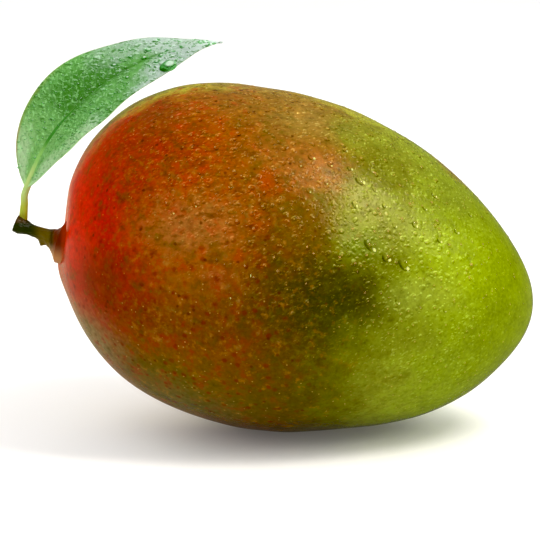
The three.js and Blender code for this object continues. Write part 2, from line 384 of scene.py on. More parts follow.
class Graph:
    """The node tree of a material or a world, and the one way that nodes are added to it."""

    def __init__(self, tree: bpy.types.NodeTree) -> None:
        self.tree = tree
        self.tree.nodes.clear()

    @classmethod
    def of_material(cls, name: str) -> tuple["Graph", bpy.types.Material]:
        """The graph of a new material's empty tree, and the material."""
        material = bpy.data.materials.new(name)
        material.use_nodes = True
        return cls(material.node_tree), material

    def node(self, kind: str, settings: dict[str, Any], inputs: dict[Any, Any]) -> bpy.types.Node:
        """Adds a node, sets it up, then fills or links its inputs.

        Args:
            kind: the node's type.
            settings: its own settings, which are set first.
            inputs: numbers, colours, signals or sockets, by the input's name or number.

        Returns:
            The node.
        """
        made = self.tree.nodes.new(kind)
        for name, value in settings.items():
            setattr(made, name, value)
        for name, value in inputs.items():
            source = value.socket if isinstance(value, Signal) else value
            if isinstance(source, bpy.types.NodeSocket):
                self.tree.links.new(source, made.inputs[name])
            elif made.inputs[name].type == "RGBA":
                made.inputs[name].default_value = (*source[:3], 1.0)
            else:
                made.inputs[name].default_value = source
        return made

    def add(
        self,
        kind: str,
        settings: dict[str, Any] | None = None,
        inputs: dict[Any, Any] | None = None,
        output: str | int = 0,
    ) -> Signal:
        """Adds a node as node() does.

        Args:
            kind: the node's type.
            settings: its own settings.
            inputs: its inputs by name or number.
            output: the output to give back.

        Returns:
            That output.
        """
        made = self.node(kind, settings or {}, inputs or {})
        return Signal(self, made.outputs[output])

    def place(self) -> Signal:
        """The surface's own coordinates in millimetres."""
        own = self.add("ShaderNodeTexCoord", output="Object")
        return self.vector("SCALE", {0: own, "Scale": 1 / MM})

    def vector(self, operation: str, inputs: dict[Any, Any]) -> Signal:
        """A Vector Math node's result, from its operation and inputs."""
        return self.add("ShaderNodeVectorMath", {"operation": operation}, inputs)

    def parts(self, vector: Signal) -> tuple[Signal, Signal, Signal]:
        """The three numbers of a vector."""
        split = self.node("ShaderNodeSeparateXYZ", {}, {0: vector})
        return tuple(Signal(self, socket) for socket in split.outputs)

    def stretched(self, place: Signal, scale: Place) -> Signal:
        """A place or a colour with each of its numbers scaled."""
        return self.vector("MULTIPLY", {0: place, 1: scale})

    def noise(self, place: Signal, size: float, detail: float = 2.0, rough: float = 0.5) -> Signal:
        """Cloudy noise about 0.

        Args:
            place: where to read it, in millimetres.
            size: width of its largest clouds, in millimetres.
            detail: how many finer layers it has.
            rough: how strong each finer layer is.

        Returns:
            Noise from about -1 to 1.
        """
        inputs = {"Vector": place, "Scale": 1 / size, "Detail": detail, "Roughness": rough}
        return (self.add("ShaderNodeTexNoise", {}, inputs) - 0.5) * 2

    def wobble(self, place: Signal, size: float, amount: float) -> Signal:
        """A vector that wavers by an amount, in clouds of a size."""
        noise = self.add("ShaderNodeTexNoise", {}, {"Vector": place, "Scale": 1 / size}, "Color")
        middle = self.vector("SUBTRACT", {0: noise, 1: (0.5, 0.5, 0.5)})
        return self.vector("MULTIPLY", {0: middle, 1: (2 * amount, 2 * amount, 2 * amount)})

    def _scattered(self, place: Signal, size: float) -> tuple[bpy.types.Node, Signal, Signal]:
        """Scattered points, about one in each cube of a size.

        Args:
            place: where to read them, in millimetres.
            size: side of the cubes.

        Returns:
            The node, the distance to the nearest point in millimetres, and that point's own
            random number.
        """
        found = self.node("ShaderNodeTexVoronoi", {}, {"Vector": place, "Scale": 1 / size})
        chance, _, _ = self.parts(Signal(self, found.outputs["Color"]))
        return found, Signal(self, found.outputs["Distance"]) * size, chance

    def cells(self, place: Signal, size: float) -> tuple[Signal, Signal]:
        """The distance and the random number that _scattered() gives."""
        _, distance, chance = self._scattered(place, size)
        return distance, chance

    def beads(self, place: Signal, size: float, side: Place) -> tuple[Signal, Signal, Signal]:
        """Scattered points as cells() has them, and which side of its point a place is on.

        Args:
            place: where to read them, in millimetres.
            size: side of the cubes.
            side: the direction that counts as towards 1.

        Returns:
            What cells() gives, and how far the place lies from the point towards the side, in
            millimetres.
        """
        found, distance, chance = self._scattered(place, size)
        away = self.vector("SUBTRACT", {0: place, 1: Signal(self, found.outputs["Position"])})
        dot = {"operation": "DOT_PRODUCT"}
        return distance, chance, self.add("ShaderNodeVectorMath", dot, {0: away, 1: side}, "Value")

    def mix(self, first: Any, second: Any, share: Any) -> Signal:
        """The first colour with a share of the second blended over it."""
        return self.add("ShaderNodeMix", {"data_type": "RGBA"}, {0: share, 6: first, 7: second}, output=2)

    def ramp(self, value: Signal, stops: Sequence[tuple[float, Colour]]) -> Signal:
        """A colour that follows a number through a row of stops.

        Args:
            value: the number.
            stops: numbers in rising order, each with its colour.

        Returns:
            The colour.
        """
        low, high = stops[0][0], stops[-1][0]
        made = self.node("ShaderNodeValToRGB", {}, {"Fac": (value - low) / (high - low)})
        elements = made.color_ramp.elements
        for number, (at, colour) in enumerate(stops):
            share = (at - low) / (high - low)
            stop = elements[number] if number < len(elements) else elements.new(share)
            stop.position = share
            stop.color = (*colour, 1.0)
        return Signal(self, made.outputs["Color"])

    def relief(self, height: Signal) -> Signal:
        """A surface direction bumped by a height in millimetres."""
        return self.add("ShaderNodeBump", {}, {"Height": height, "Distance": MM, "Strength": 1.0})

    def surface(self, inputs: dict[Any, Any]) -> None:
        """Finishes a material with one Principled shader of these inputs."""
        shader = self.add("ShaderNodeBsdfPrincipled", {}, inputs)
        self.node("ShaderNodeOutputMaterial", {}, {"Surface": shader})


# ---- finishes ----


@dataclass
class Coat:
    """A colour that is built up in layers."""

    graph: Graph
    colour: Any

    def lay(self, colour: Any, share: Any) -> None:
        """Blends a share of a colour over what is there."""
        self.colour = self.graph.mix(self.colour, colour, share)

    def dim(self, share: Signal) -> None:
        """Leaves a share of the brightness that is there."""
        self.colour = self.graph.mix(BLACK, self.colour, share)


@dataclass(frozen=True)
class Patch:
    """A soft-edged patch of one colour on the skin, in millimetres."""

    centre: Place
    reach: Place
    colour: Colour
    strength: float  # how much it covers at its middle
    edge: Span = (0.0, 1.3)  # shares of the reach over which it fades
    fray: float = 0.3  # how much noise moves its edge

    def share(self, graph: Graph, place: Signal, ragged: Signal) -> Signal:
        """How much the patch covers.

        Args:
            graph: the tree to add to.
            place: the place in millimetres.
            ragged: noise that frays its edge.

        Returns:
            A share from 0 to 1.
        """
        offset = graph.vector("SUBTRACT", {0: place, 1: self.centre})
        scaled = graph.vector("DIVIDE", {0: offset, 1: self.reach})
        distance = graph.add("ShaderNodeVectorMath", {"operation": "LENGTH"}, {0: scaled}, "Value")
        return (distance + ragged * self.fray).fall(*self.edge) * self.strength


@dataclass(frozen=True)
class Dots:
    """Scattered round dots, in millimetres."""

    colour: Colour
    spacing: float
    edge: Span  # distances from a dot's middle over which it fades
    chance: Span  # random numbers over which a point comes to have a dot

    def share(self, graph: Graph, place: Signal, ragged: Signal | None = None) -> Signal:
        """How much of a dot lies at a place.

        Args:
            graph: the tree to add to.
            place: the place in millimetres.
            ragged: millimetres by which the dots' edges are moved, if they are.

        Returns:
            A share from 0 to 1.
        """
        distance, chance = graph.cells(place, self.spacing)
        if ragged is not None:
            distance = distance + ragged
        return distance.fall(*self.edge) * chance.rise(*self.chance)


@dataclass(frozen=True)
class Beading:
    """Drops too fine for a mesh: a dome in the relief, with a painted lit rim on one side and painted
    shade on the other.

    Distances are from a drop's middle, as shares of the spacing between the drops.
    """

    side: Place  # direction of the lit side
    chance: Span  # random numbers over which a point comes to have a drop
    rim_in: Span  # where the rim starts
    rim_out: Span  # where it ends
    lit: Span  # how far towards the lit side it lights up
    dim_out: Span  # where the dim part ends
    dim: Span  # how far towards the lit side it ends

    def parts(
        self, graph: Graph, place: Signal, size: float, ragged: Signal, *wet: Signal
    ) -> tuple[Signal, Signal, Signal]:
        """The parts of the drops of one size.

        Args:
            graph: the tree to add to.
            place: the place in millimetres.
            size: the distance between the drops, in millimetres.
            ragged: noise that bares some places and crowds others.
            wet: shares of the drops that are there, which are multiplied.

        Returns:
            The dome's height, and the shares of the painted lit rim and of the painted shade on the other
            side.
        """
        distance, chance, off = graph.beads(place, size, self.side)
        near, towards = distance / size, off / size
        there = (chance + ragged).rise(*self.chance)
        for share in wet:
            there = there * share
        rim = near.rise(*self.rim_in) * near.fall(*self.rim_out) * towards.rise(*self.lit)
        dim = near.fall(*self.dim_out) * towards.fall(*self.dim)
        return near.dome() * there * size, rim * there, dim * there


@dataclass(frozen=True)
class SkinPlace:
    """A place on the skin in millimetres, and the noise there, from coarse to fine."""

    at: Signal
    x: Signal
    y: Signal
    z: Signal
    drift: Signal
    cloud: Signal
    blotch: Signal
    flecks: Signal
    mottle: Signal
    grain: Signal

    @classmethod
    def of(cls, graph: Graph) -> "SkinPlace":
        """The place that a tree is working on, with its noise."""
        at = graph.place()
        return cls(
            at,
            *graph.parts(at),
            drift=graph.noise(at, 20.0, 3.0),
            cloud=graph.noise(at, 6.0, 4.0, 0.65),
            blotch=graph.noise(at, 4.2, 2.0, 0.6),
            flecks=graph.noise(at, 2.3, 3.0, 0.6),
            mottle=graph.noise(at, 1.7, 3.0, 0.65),
            grain=graph.noise(at, 0.9, 2.0, 0.6),
        )


@dataclass(frozen=True)
class SkinFinish:
    """Waxy skin: red at the stem end, rust and amber in the middle, green at the tip.

    The tables and colours come first, then the stretches of X, Y or Z in millimetres over which
    a layer comes or goes, then the stretches of noise in which its flecks show, and then how much
    of what lies below each layer covers.

    Attributes:
        ripeness: the ground colour in front, at places along the fruit.
        patches: soft patches over the ground colour, in the order in which they are laid.
        far_side: the ridge between front and back, at places along the fruit.
        back: the back, at places along the fruit.
    """

    ripeness: tuple[tuple[float, Colour], ...] = (
        (-56.0, (0.7, 0.015, 0.003)),
        (-45.0, (0.47, 0.01, 0.002)),
        (-35.0, (0.33, 0.032, 0.002)),
        (-26.0, (0.34, 0.07, 0.003)),
        (-14.0, (0.28, 0.07, 0.003)),
        (-4.0, (0.21, 0.068, 0.003)),
        (4.0, (0.165, 0.075, 0.003)),
        (11.0, (0.15, 0.095, 0.003)),
        (17.0, (0.16, 0.15, 0.004)),
        (24.0, (0.19, 0.21, 0.013)),
        (33.0, (0.22, 0.27, 0.016)),
        (44.0, (0.2, 0.27, 0.01)),
        (58.0, (0.165, 0.225, 0.002)),
    )
    patches: tuple[Patch, ...] = (
        Patch((1.0, -14.0, 92.0), (29.0, 40.0, 14.0), (0.25, 0.128, 0.014), 0.9),
        Patch((-32.0, -24.0, 79.0), (24.0, 19.0, 13.0), (0.29, 0.026, 0.001), 0.85),
        Patch((-22.0, -34.0, 60.0), (17.0, 18.0, 9.0), (0.44, 0.17, 0.035), 0.85),
        Patch((4.0, -28.0, 77.0), (17.0, 14.0, 7.0), (0.34, 0.12, 0.014), 0.85),
        Patch((2.0, -42.0, 54.5), (11.0, 12.0, 11.0), (0.12, 0.062, 0.003), 0.85),
        Patch((14.0, -42.0, 44.0), (26.0, 30.0, 15.0), (0.04, 0.04, 0.001), 1.0),
        Patch((20.0, -38.0, 63.5), (8.0, 12.0, 9.0), (0.2, 0.24, 0.01), 0.85),
        Patch((42.0, -27.0, 48.0), (16.0, 22.0, 14.0), (0.27, 0.37, 0.005), 0.8),
        Patch((28.0, -24.0, 74.0), (13.0, 12.0, 7.0), (0.15, 0.16, 0.008), 0.8),
        Patch((26.0, -34.0, 32.0), (17.0, 24.0, 9.0), (0.17, 0.2, 0.01), 0.8),
        Patch((38.0, -31.0, 43.0), (10.0, 18.0, 7.0), (0.27, 0.33, 0.025), 0.7),
        Patch((31.0, -34.0, 43.5), (9.0, 14.0, 5.0), (0.3, 0.37, 0.035), 0.6),
        Patch((18.0, -18.0, 83.0), (8.0, 12.0, 7.0), (0.27, 0.32, 0.03), 0.6),
        Patch((20.0, -40.0, 57.0), (8.0, 8.0, 6.0), (0.15, 0.23, 0.014), 0.6),
        Patch((-29.0, -17.0, 85.0), (11.0, 11.0, 6.0), (0.19, 0.05, 0.006), 0.6),
        Patch((-30.0, -26.0, 22.0), (22.0, 26.0, 11.0), (0.17, 0.12, 0.01), 0.9),
        Patch((-24.0, -20.0, 12.0), (26.0, 30.0, 11.0), (0.2, 0.19, 0.035), 0.9),
        Patch((-48.0, -10.0, 28.0), (14.0, 28.0, 11.5), (0.32, 0.27, 0.09), 1.0),
        Patch((2.0, -26.0, 18.0), (26.0, 24.0, 9.0), (0.11, 0.1, 0.006), 0.6),
        Patch((-22.0, -34.0, 35.0), (22.0, 24.0, 7.0), (0.2, 0.052, 0.005), 0.6),
        Patch((-20.0, -40.0, 48.0), (15.0, 18.0, 6.5), (0.38, 0.15, 0.014), 0.4),
        Patch((8.5, -35.0, 73.5), (9.0, 12.0, 6.0), (0.4, 0.12, 0.02), 0.7),
        Patch((6.0, -18.0, 84.5), (11.0, 14.0, 6.0), (0.33, 0.21, 0.035), 0.7),
        Patch((-3.0, -36.0, 71.0), (6.0, 9.0, 4.5), (0.4, 0.05, 0.004), 0.6),
        Patch((-5.0, -40.0, 62.0), (5.0, 8.0, 5.0), (0.34, 0.05, 0.003), 0.55),
        Patch((-42.0, -26.0, 47.5), (10.0, 15.0, 10.0), (0.15, 0.014, 0.001), 0.9),
        Patch((44.0, -14.0, 64.0), (12.0, 14.0, 9.0), (0.16, 0.2, 0.014), 0.7),
        Patch((47.0, 8.0, 69.0), (12.0, 14.0, 7.0), (0.3, 0.04, 0.004), 0.9),
        Patch((-16.0, -45.0, 49.0), (5.0, 6.0, 4.0), (0.42, 0.045, 0.02), 0.5),
        Patch((-33.0, -38.0, 48.0), (5.0, 6.0, 3.0), (0.4, 0.04, 0.02), 0.4),
    )
    far_side: tuple[tuple[float, Colour], ...] = (
        (-56.0, (0.8, 0.12, 0.05)),
        (-51.0, (0.66, 0.24, 0.03)),
        (-46.0, (0.5, 0.5, 0.02)),
        (-38.0, (0.52, 0.58, 0.02)),
        (-22.0, (0.52, 0.54, 0.03)),
        (-7.0, (0.43, 0.34, 0.04)),
        (16.0, (0.46, 0.46, 0.02)),
        (34.0, (0.2, 0.26, 0.01)),
    )
    back: tuple[tuple[float, Colour], ...] = (
        (-56.0, (0.55, 0.03, 0.004)),
        (-44.0, (0.46, 0.07, 0.005)),
        (-28.0, (0.5, 0.24, 0.01)),
        (-6.0, (0.46, 0.36, 0.015)),
        (16.0, (0.34, 0.38, 0.015)),
        (34.0, (0.19, 0.26, 0.01)),
    )
    tan: Colour = (0.6, 0.44, 0.14)  # underside of the far side, at the stem end
    # painted shade: a dark colour laid over the lower part
    shade: Colour = (0.01, 0.02, 0.001)  # what darkens the lower part
    red: Colour = (0.37, 0.022, 0.003)  # blush flecks on the upper part
    crimson: Colour = (0.24, 0.012, 0.006)  # and on the lower part
    olive: Colour = (0.09, 0.075, 0.002)  # green flecks
    brown: Colour = (0.12, 0.026, 0.003)  # fine streaks on the shoulder
    amber: Colour = (0.5, 0.2, 0.01)  # light flecks
    painted_sheen_veil: Colour = (0.5, 0.22, 0.06)  # painted sheen, a pale mottled haze on the cheek
    spots: Dots = Dots((0.15, 0.008, 0.002), 2.6, (0.35, 1.0), (0.2, 0.5))  # dark red
    pores: Dots = Dots((0.62, 0.4, 0.08), 1.7, (0.1, 0.3), (0.3, 0.6))  # pale
    specks: Dots = Dots((0.07, 0.012, 0.003), 3.1, (0.25, 0.6), (0.4, 0.6))  # dark brown
    beading: Beading = Beading(
        side=(-0.45, 0.3, 0.84),
        chance=(0.25, 0.95),
        rim_in=(0.16, 0.32),
        rim_out=(0.36, 0.54),
        lit=(0.05, 0.35),
        dim_out=(0.3, 0.6),
        dim=(-0.35, 0.0),
    )
    bead_sizes: tuple[tuple[float, float], ...] = ((0.95, 0.7), (1.7, 0.6))  # spacing, and the strength of the painted glint
    # painted glint on a fine drop's lit rim
    bead_painted_glint: Colour = (0.95, 0.72, 0.18)
    bead_gain: Colour = (2.0, 2.5, 4.0)  # how much brighter the skin is painted on a lit rim
    # painted shadow on the dim side of a fine drop
    bead_shadow: Colour = (0.02, 0.01, 0.0)

    front_ends: Span = (-13.0, 3.0)  # Y, where the ridge begins
    ridge_ends: Span = (3.0, 14.0)  # Y, where the back begins
    tan_below: Span = (8.0, 30.0)  # Z
    tan_until: Span = (-30.0, 0.0)  # X, as all that are named "until"
    shade_below: Span = (40.0, 57.0)
    shade_until: Span = (8.0, 30.0)
    blush_until: Span = (-26.0, 18.0)
    red_above: Span = (36.0, 62.0)
    green_until: Span = (10.0, 50.0)
    inland: Span = (-52.0, -32.0)  # X, from the bare red end on
    flecks_until: Span = (20.0, 60.0)
    streaks_until: Span = (-10.0, 20.0)
    streaks_above: Span = (40.0, 62.0)
    light_until: Span = (0.0, 30.0)
    veil_from: Span = (-44.0, -28.0)
    veil_until: Span = (-4.0, 16.0)
    veil_above: Span = (20.0, 38.0)
    veil_below: Span = (66.0, 84.0)
    spots_until: Span = (-6.0, 14.0)
    spots_below: Span = (44.0, 84.0)
    specks_until: Span = (0.0, 30.0)
    wet_from: Span = (-5.0, 36.0)  # along the way that the spray came
    wet_until: Span = (34.0, 70.0)

    blush_noise: Span = (0.0, 0.5)
    green_noise: Span = (-0.6, -0.1)
    fleck_noise: Span = (0.05, 0.5)
    streak_noise: Span = (0.0, 0.35)
    light_noise: Span = (-0.5, -0.1)

    behind_cover: float = 0.9
    tan_cover: float = 0.9
    shade_cover: float = 0.42
    blush_cover: float = 0.55
    green_cover: float = 0.4
    fleck_cover: float = 0.45
    streak_cover: float = 0.6
    light_cover: float = 0.4
    spot_cover: float = 0.65
    speck_cover: float = 0.75
    glow_cover: float = 0.17
    shadow_cover: float = 0.4

    roughness: float = 0.24
    ior: float = 1.18
    glint: Colour = (1.0, 0.85, 0.4)

    def _ground(self, graph: Graph, s: SkinPlace) -> Coat:
        """The colour under the flecks.

        The run of ripeness gives way to the ridge and then the back, and the patches and the
        painted shade of the lower part lie over it.

        Args:
            graph: the tree to add to.
            s: the place on the skin.

        Returns:
            The coat so far.
        """
        leaning = s.x - (s.z - 58) * 0.1 + s.drift * 6 + s.cloud * 16 + s.mottle * 12
        front = graph.ramp(leaning, self.ripeness)
        ridge = graph.ramp(s.x + s.drift * 3, self.far_side)
        back = graph.ramp(s.x + s.drift * 10 + s.cloud * 14 + s.mottle * 8, self.back)
        behind = graph.mix(ridge, back, (s.y + s.cloud * 8 + s.mottle * 4).rise(*self.ridge_ends))
        under = (s.z + s.x * 0.3).fall(*self.tan_below) * s.x.fall(*self.tan_until)
        behind = graph.mix(behind, self.tan, under * self.tan_cover)
        beyond = (s.y + s.drift * 4 + s.cloud * 6 + s.mottle * 4).rise(*self.front_ends)
        coat = Coat(graph, front)
        coat.lay(behind, beyond * self.behind_cover)
        ragged = s.cloud * 1.5 + s.mottle
        for patch in self.patches:
            coat.lay(patch.colour, patch.share(graph, s.at, ragged))
        # painted shade, darker towards the bottom except towards the tip
        below = (s.z - s.cloud * 8).fall(*self.shade_below) * s.x.fall(*self.shade_until)
        coat.lay(self.shade, below * self.shade_cover)
        return coat

    def _lay_flecks(self, coat: Coat, s: SkinPlace, inland: Signal) -> None:
        """Lays blush, green flecks, brown streaks, light flecks and a painted sheen.

        Args:
            coat: the coat so far.
            s: the place on the skin.
            inland: how far the place is from the bare red end, from 0 to 1.
        """
        graph = coat.graph
        blush = graph.mix(self.crimson, self.red, (s.z + s.blotch * 8).rise(*self.red_above))
        blushed = (s.blotch + s.flecks * 0.8).rise(*self.blush_noise) * s.x.fall(*self.blush_until)
        coat.lay(blush, blushed * self.blush_cover)
        green = (s.blotch - s.flecks * 0.8).fall(*self.green_noise) * s.x.fall(*self.green_until)
        coat.lay(self.olive, green * self.green_cover)
        fleck = (s.mottle + s.grain * 0.4).rise(*self.fleck_noise) * s.x.fall(*self.flecks_until)
        coat.lay(self.olive, fleck * (inland * 0.8 + 0.2) * self.fleck_cover)

        streak = graph.noise(graph.stretched(s.at, (0.5, 1.0, 1.2)), 1.5, 3.0, 0.65)
        streaked = streak.rise(*self.streak_noise) * s.x.fall(*self.streaks_until)
        streaked = streaked * (s.z + s.blotch * 8).rise(*self.streaks_above)
        coat.lay(self.brown, streaked * (inland * 0.6 + 0.4) * self.streak_cover)
        light = (s.flecks + s.grain * 0.4).fall(*self.light_noise) * s.x.fall(*self.light_until)
        coat.lay(self.amber, light * inland * self.light_cover)

        # a painted sheen: a pale mottled veil over the cheek
        along, level = s.x + s.cloud * 8, s.z + s.blotch * 6
        veiled = along.rise(*self.veil_from) * along.fall(*self.veil_until)
        veiled = veiled * level.rise(*self.veil_above) * level.fall(*self.veil_below)
        sheen_mottle = (s.mottle * 0.3 - s.flecks * 0.3 + 0.02).most(0)
        coat.lay(self.painted_sheen_veil, veiled * sheen_mottle)

    def _lay_spots(self, coat: Coat, s: SkinPlace, inland: Signal) -> Signal:
        """Lays spots, an uneven brightness, pale pores and dark specks.

        Args:
            coat: the coat so far.
            s: the place on the skin.
            inland: how far the place is from the bare red end, from 0 to 1.

        Returns:
            How much of a dark speck lies at the place.
        """
        spot = self.spots.share(coat.graph, s.at, s.mottle * 0.5) * s.x.fall(*self.spots_until)
        spot = spot * (s.z + s.blotch * 12).fall(*self.spots_below)
        coat.lay(self.spots.colour, spot * self.spot_cover)
        coat.dim(0.88 + s.grain * 0.35 + s.blotch * 0.28 + s.cloud * 0.2)
        pore = self.pores.share(coat.graph, s.at)
        coat.lay(self.pores.colour, pore * (inland * 0.3 + 0.1))
        dark = self.specks.share(coat.graph, s.at, s.grain * 0.2)
        speck = dark * s.x.fall(*self.specks_until) * self.speck_cover
        coat.lay(self.specks.colour, speck)
        return dark

    def _lay_beads(self, coat: Coat, s: SkinPlace) -> Signal:
        """Lays the finest drops where the spray met the skin: a dome in the relief, a painted glint on
        one rim and painted shade on the other side.

        Args:
            coat: the coat so far.
            s: the place on the skin.

        Returns:
            The drops' height.
        """
        graph = coat.graph
        facing = s.x * 0.6 - s.y * 0.35 + (s.z - 41) * 0.8 + s.blotch * 6
        wet = facing.rise(*self.wet_from) * s.x.fall(*self.wet_until)
        wavy = graph.vector("ADD", {0: s.at, 1: graph.wobble(s.at, 1.6, 0.55)})
        height = 0
        for size, strength in self.bead_sizes:
            dome, rim, dim = self.beading.parts(graph, wavy, size, s.blotch * 0.4, wet)
            height = dome + height
            # painted glint on the lit rim, and painted shadow on the dim side
            bright = graph.stretched(coat.colour, self.bead_gain)
            lit = graph.mix(bright, self.bead_painted_glint, self.glow_cover)
            coat.lay(lit, rim * strength)
            coat.lay(self.bead_shadow, dim * self.shadow_cover)
        return height

    def material(self) -> bpy.types.Material:
        """The skin's material."""
        graph, material = Graph.of_material("mango_skin")
        s = SkinPlace.of(graph)
        inland = s.x.rise(*self.inland)
        coat = self._ground(graph, s)
        self._lay_flecks(coat, s, inland)
        dark = self._lay_spots(coat, s, inland)
        bead = self._lay_beads(coat, s)
        height = s.cloud * 0.06 + s.mottle * 0.05 + s.grain * 0.025 + bead * 0.08 - dark * 0.01
        graph.surface(
            {
                "Base Color": coat.colour,
                "Roughness": self.roughness + s.cloud * 0.04 - bead.rise(0.0, 0.3) * 0.1,
                "IOR": self.ior,
                "Specular Tint": self.glint,
                "Normal": graph.relief(height),
            }
        )
        return material


@dataclass(frozen=True)
class BarkFinish:
    """Bark of the short stem: red-brown collar, olive middle and green-black cut end.

    Stretches are of X in millimetres, unless they are named for a height.
    """

    collar: Colour = (0.13, 0.014, 0.003)
    ring: Colour = (0.03, 0.012, 0.002)  # the groove round the collar
    olive: Colour = (0.12, 0.085, 0.004)  # the middle
    dark_green: Colour = (0.006, 0.026, 0.004)  # the cut end
    brown: Colour = (0.07, 0.03, 0.004)  # the leaf's foot, and the grain
    tan: Colour = (0.42, 0.2, 0.07)  # the collar's lower edge, and light grain
    skin: Colour = (0.5, 0.05, 0.01)  # where it meets the fruit
    olive_from: Span = (-66.0, -62.0)
    ring_back: float = 59.8  # how far the ring lies behind the origin
    ring_reach: float = 0.5
    collar_from: Span = (-59.8, -58.9)
    edge_back: float = 60.0
    edge_from: Span = (10.8, 12.2)  # counted from edge_back
    edge_heights: Span = (46.0, 50.5)
    skin_from: Span = (-57.6, -56.4)
    foot_until: Span = (-67.0, -65.5)
    foot_heights: Span = (54.2, 55.4)

    def material(self) -> bpy.types.Material:
        """The bark's material."""
        graph, material = Graph.of_material("stem_bark")
        place = graph.place()
        x, _, z = graph.parts(place)
        grain = graph.noise(graph.stretched(place, (0.35, 1.0, 1.0)), 0.5, 4.0, 0.6)
        blotch = graph.noise(place, 1.6, 3.0)
        along = x + blotch * 0.8
        coat = Coat(graph, self.dark_green)
        coat.lay(self.olive, along.rise(*self.olive_from))
        coat.lay(self.ring, (along + self.ring_back).bell(self.ring_reach) * 0.85)
        coat.lay(self.collar, along.rise(*self.collar_from))
        edge = (along + self.edge_back + z * 0.25).rise(*self.edge_from) * z.fall(*self.edge_heights)
        coat.lay(self.tan, edge)
        coat.lay(self.skin, (x + blotch * 0.3).rise(*self.skin_from) * 0.7)
        foot = along.fall(*self.foot_until) * z.rise(*self.foot_heights)
        coat.lay(self.brown, foot * 0.8)
        coat.lay(self.brown, grain.rise(0.1, 0.6) * 0.4)
        coat.lay(self.tan, (-grain).rise(0.35, 0.7) * 0.15)
        graph.surface(
            {
                "Base Color": coat.colour,
                "Roughness": 0.34 + grain * 0.1,
                "IOR": 1.25,
                "Normal": graph.relief(grain * 0.07 + blotch * 0.04),
            }
        )
        return material


@dataclass(frozen=True)
class BladePlace:
    """A place on the blade in millimetres, and the noise there."""

    at: Signal
    t: Signal  # share of the midrib
    v: Signal  # place across, from -1 at the upper margin to 1 at the lower one
    under: Signal  # 1 on the under face and 0 on the upper one
    vein: Signal  # closeness to a side vein
    cloud: Signal
    fine: Signal
    streak: Signal

    @classmethod
    def of(cls, graph: Graph, veins: "VeinPattern") -> "BladePlace":
        """The place that a tree is working on, with its noise."""
        at = graph.place()
        t, q, _ = graph.parts(graph.add("ShaderNodeUVMap", {"uv_map": UV_MAP}))
        v = 1 - abs(q - 1) * 2
        return cls(
            at,
            t,
            v,
            under=q.rise(0.999, 1.001),
            vein=veins.shading(t, v),
            cloud=graph.noise(at, 5.0, 3.0),
            fine=graph.noise(at, 0.9, 3.0, 0.6),
            streak=graph.noise(graph.stretched(at, (1.3, 1.0, 0.5)), 0.8, 3.0, 0.6),
        )


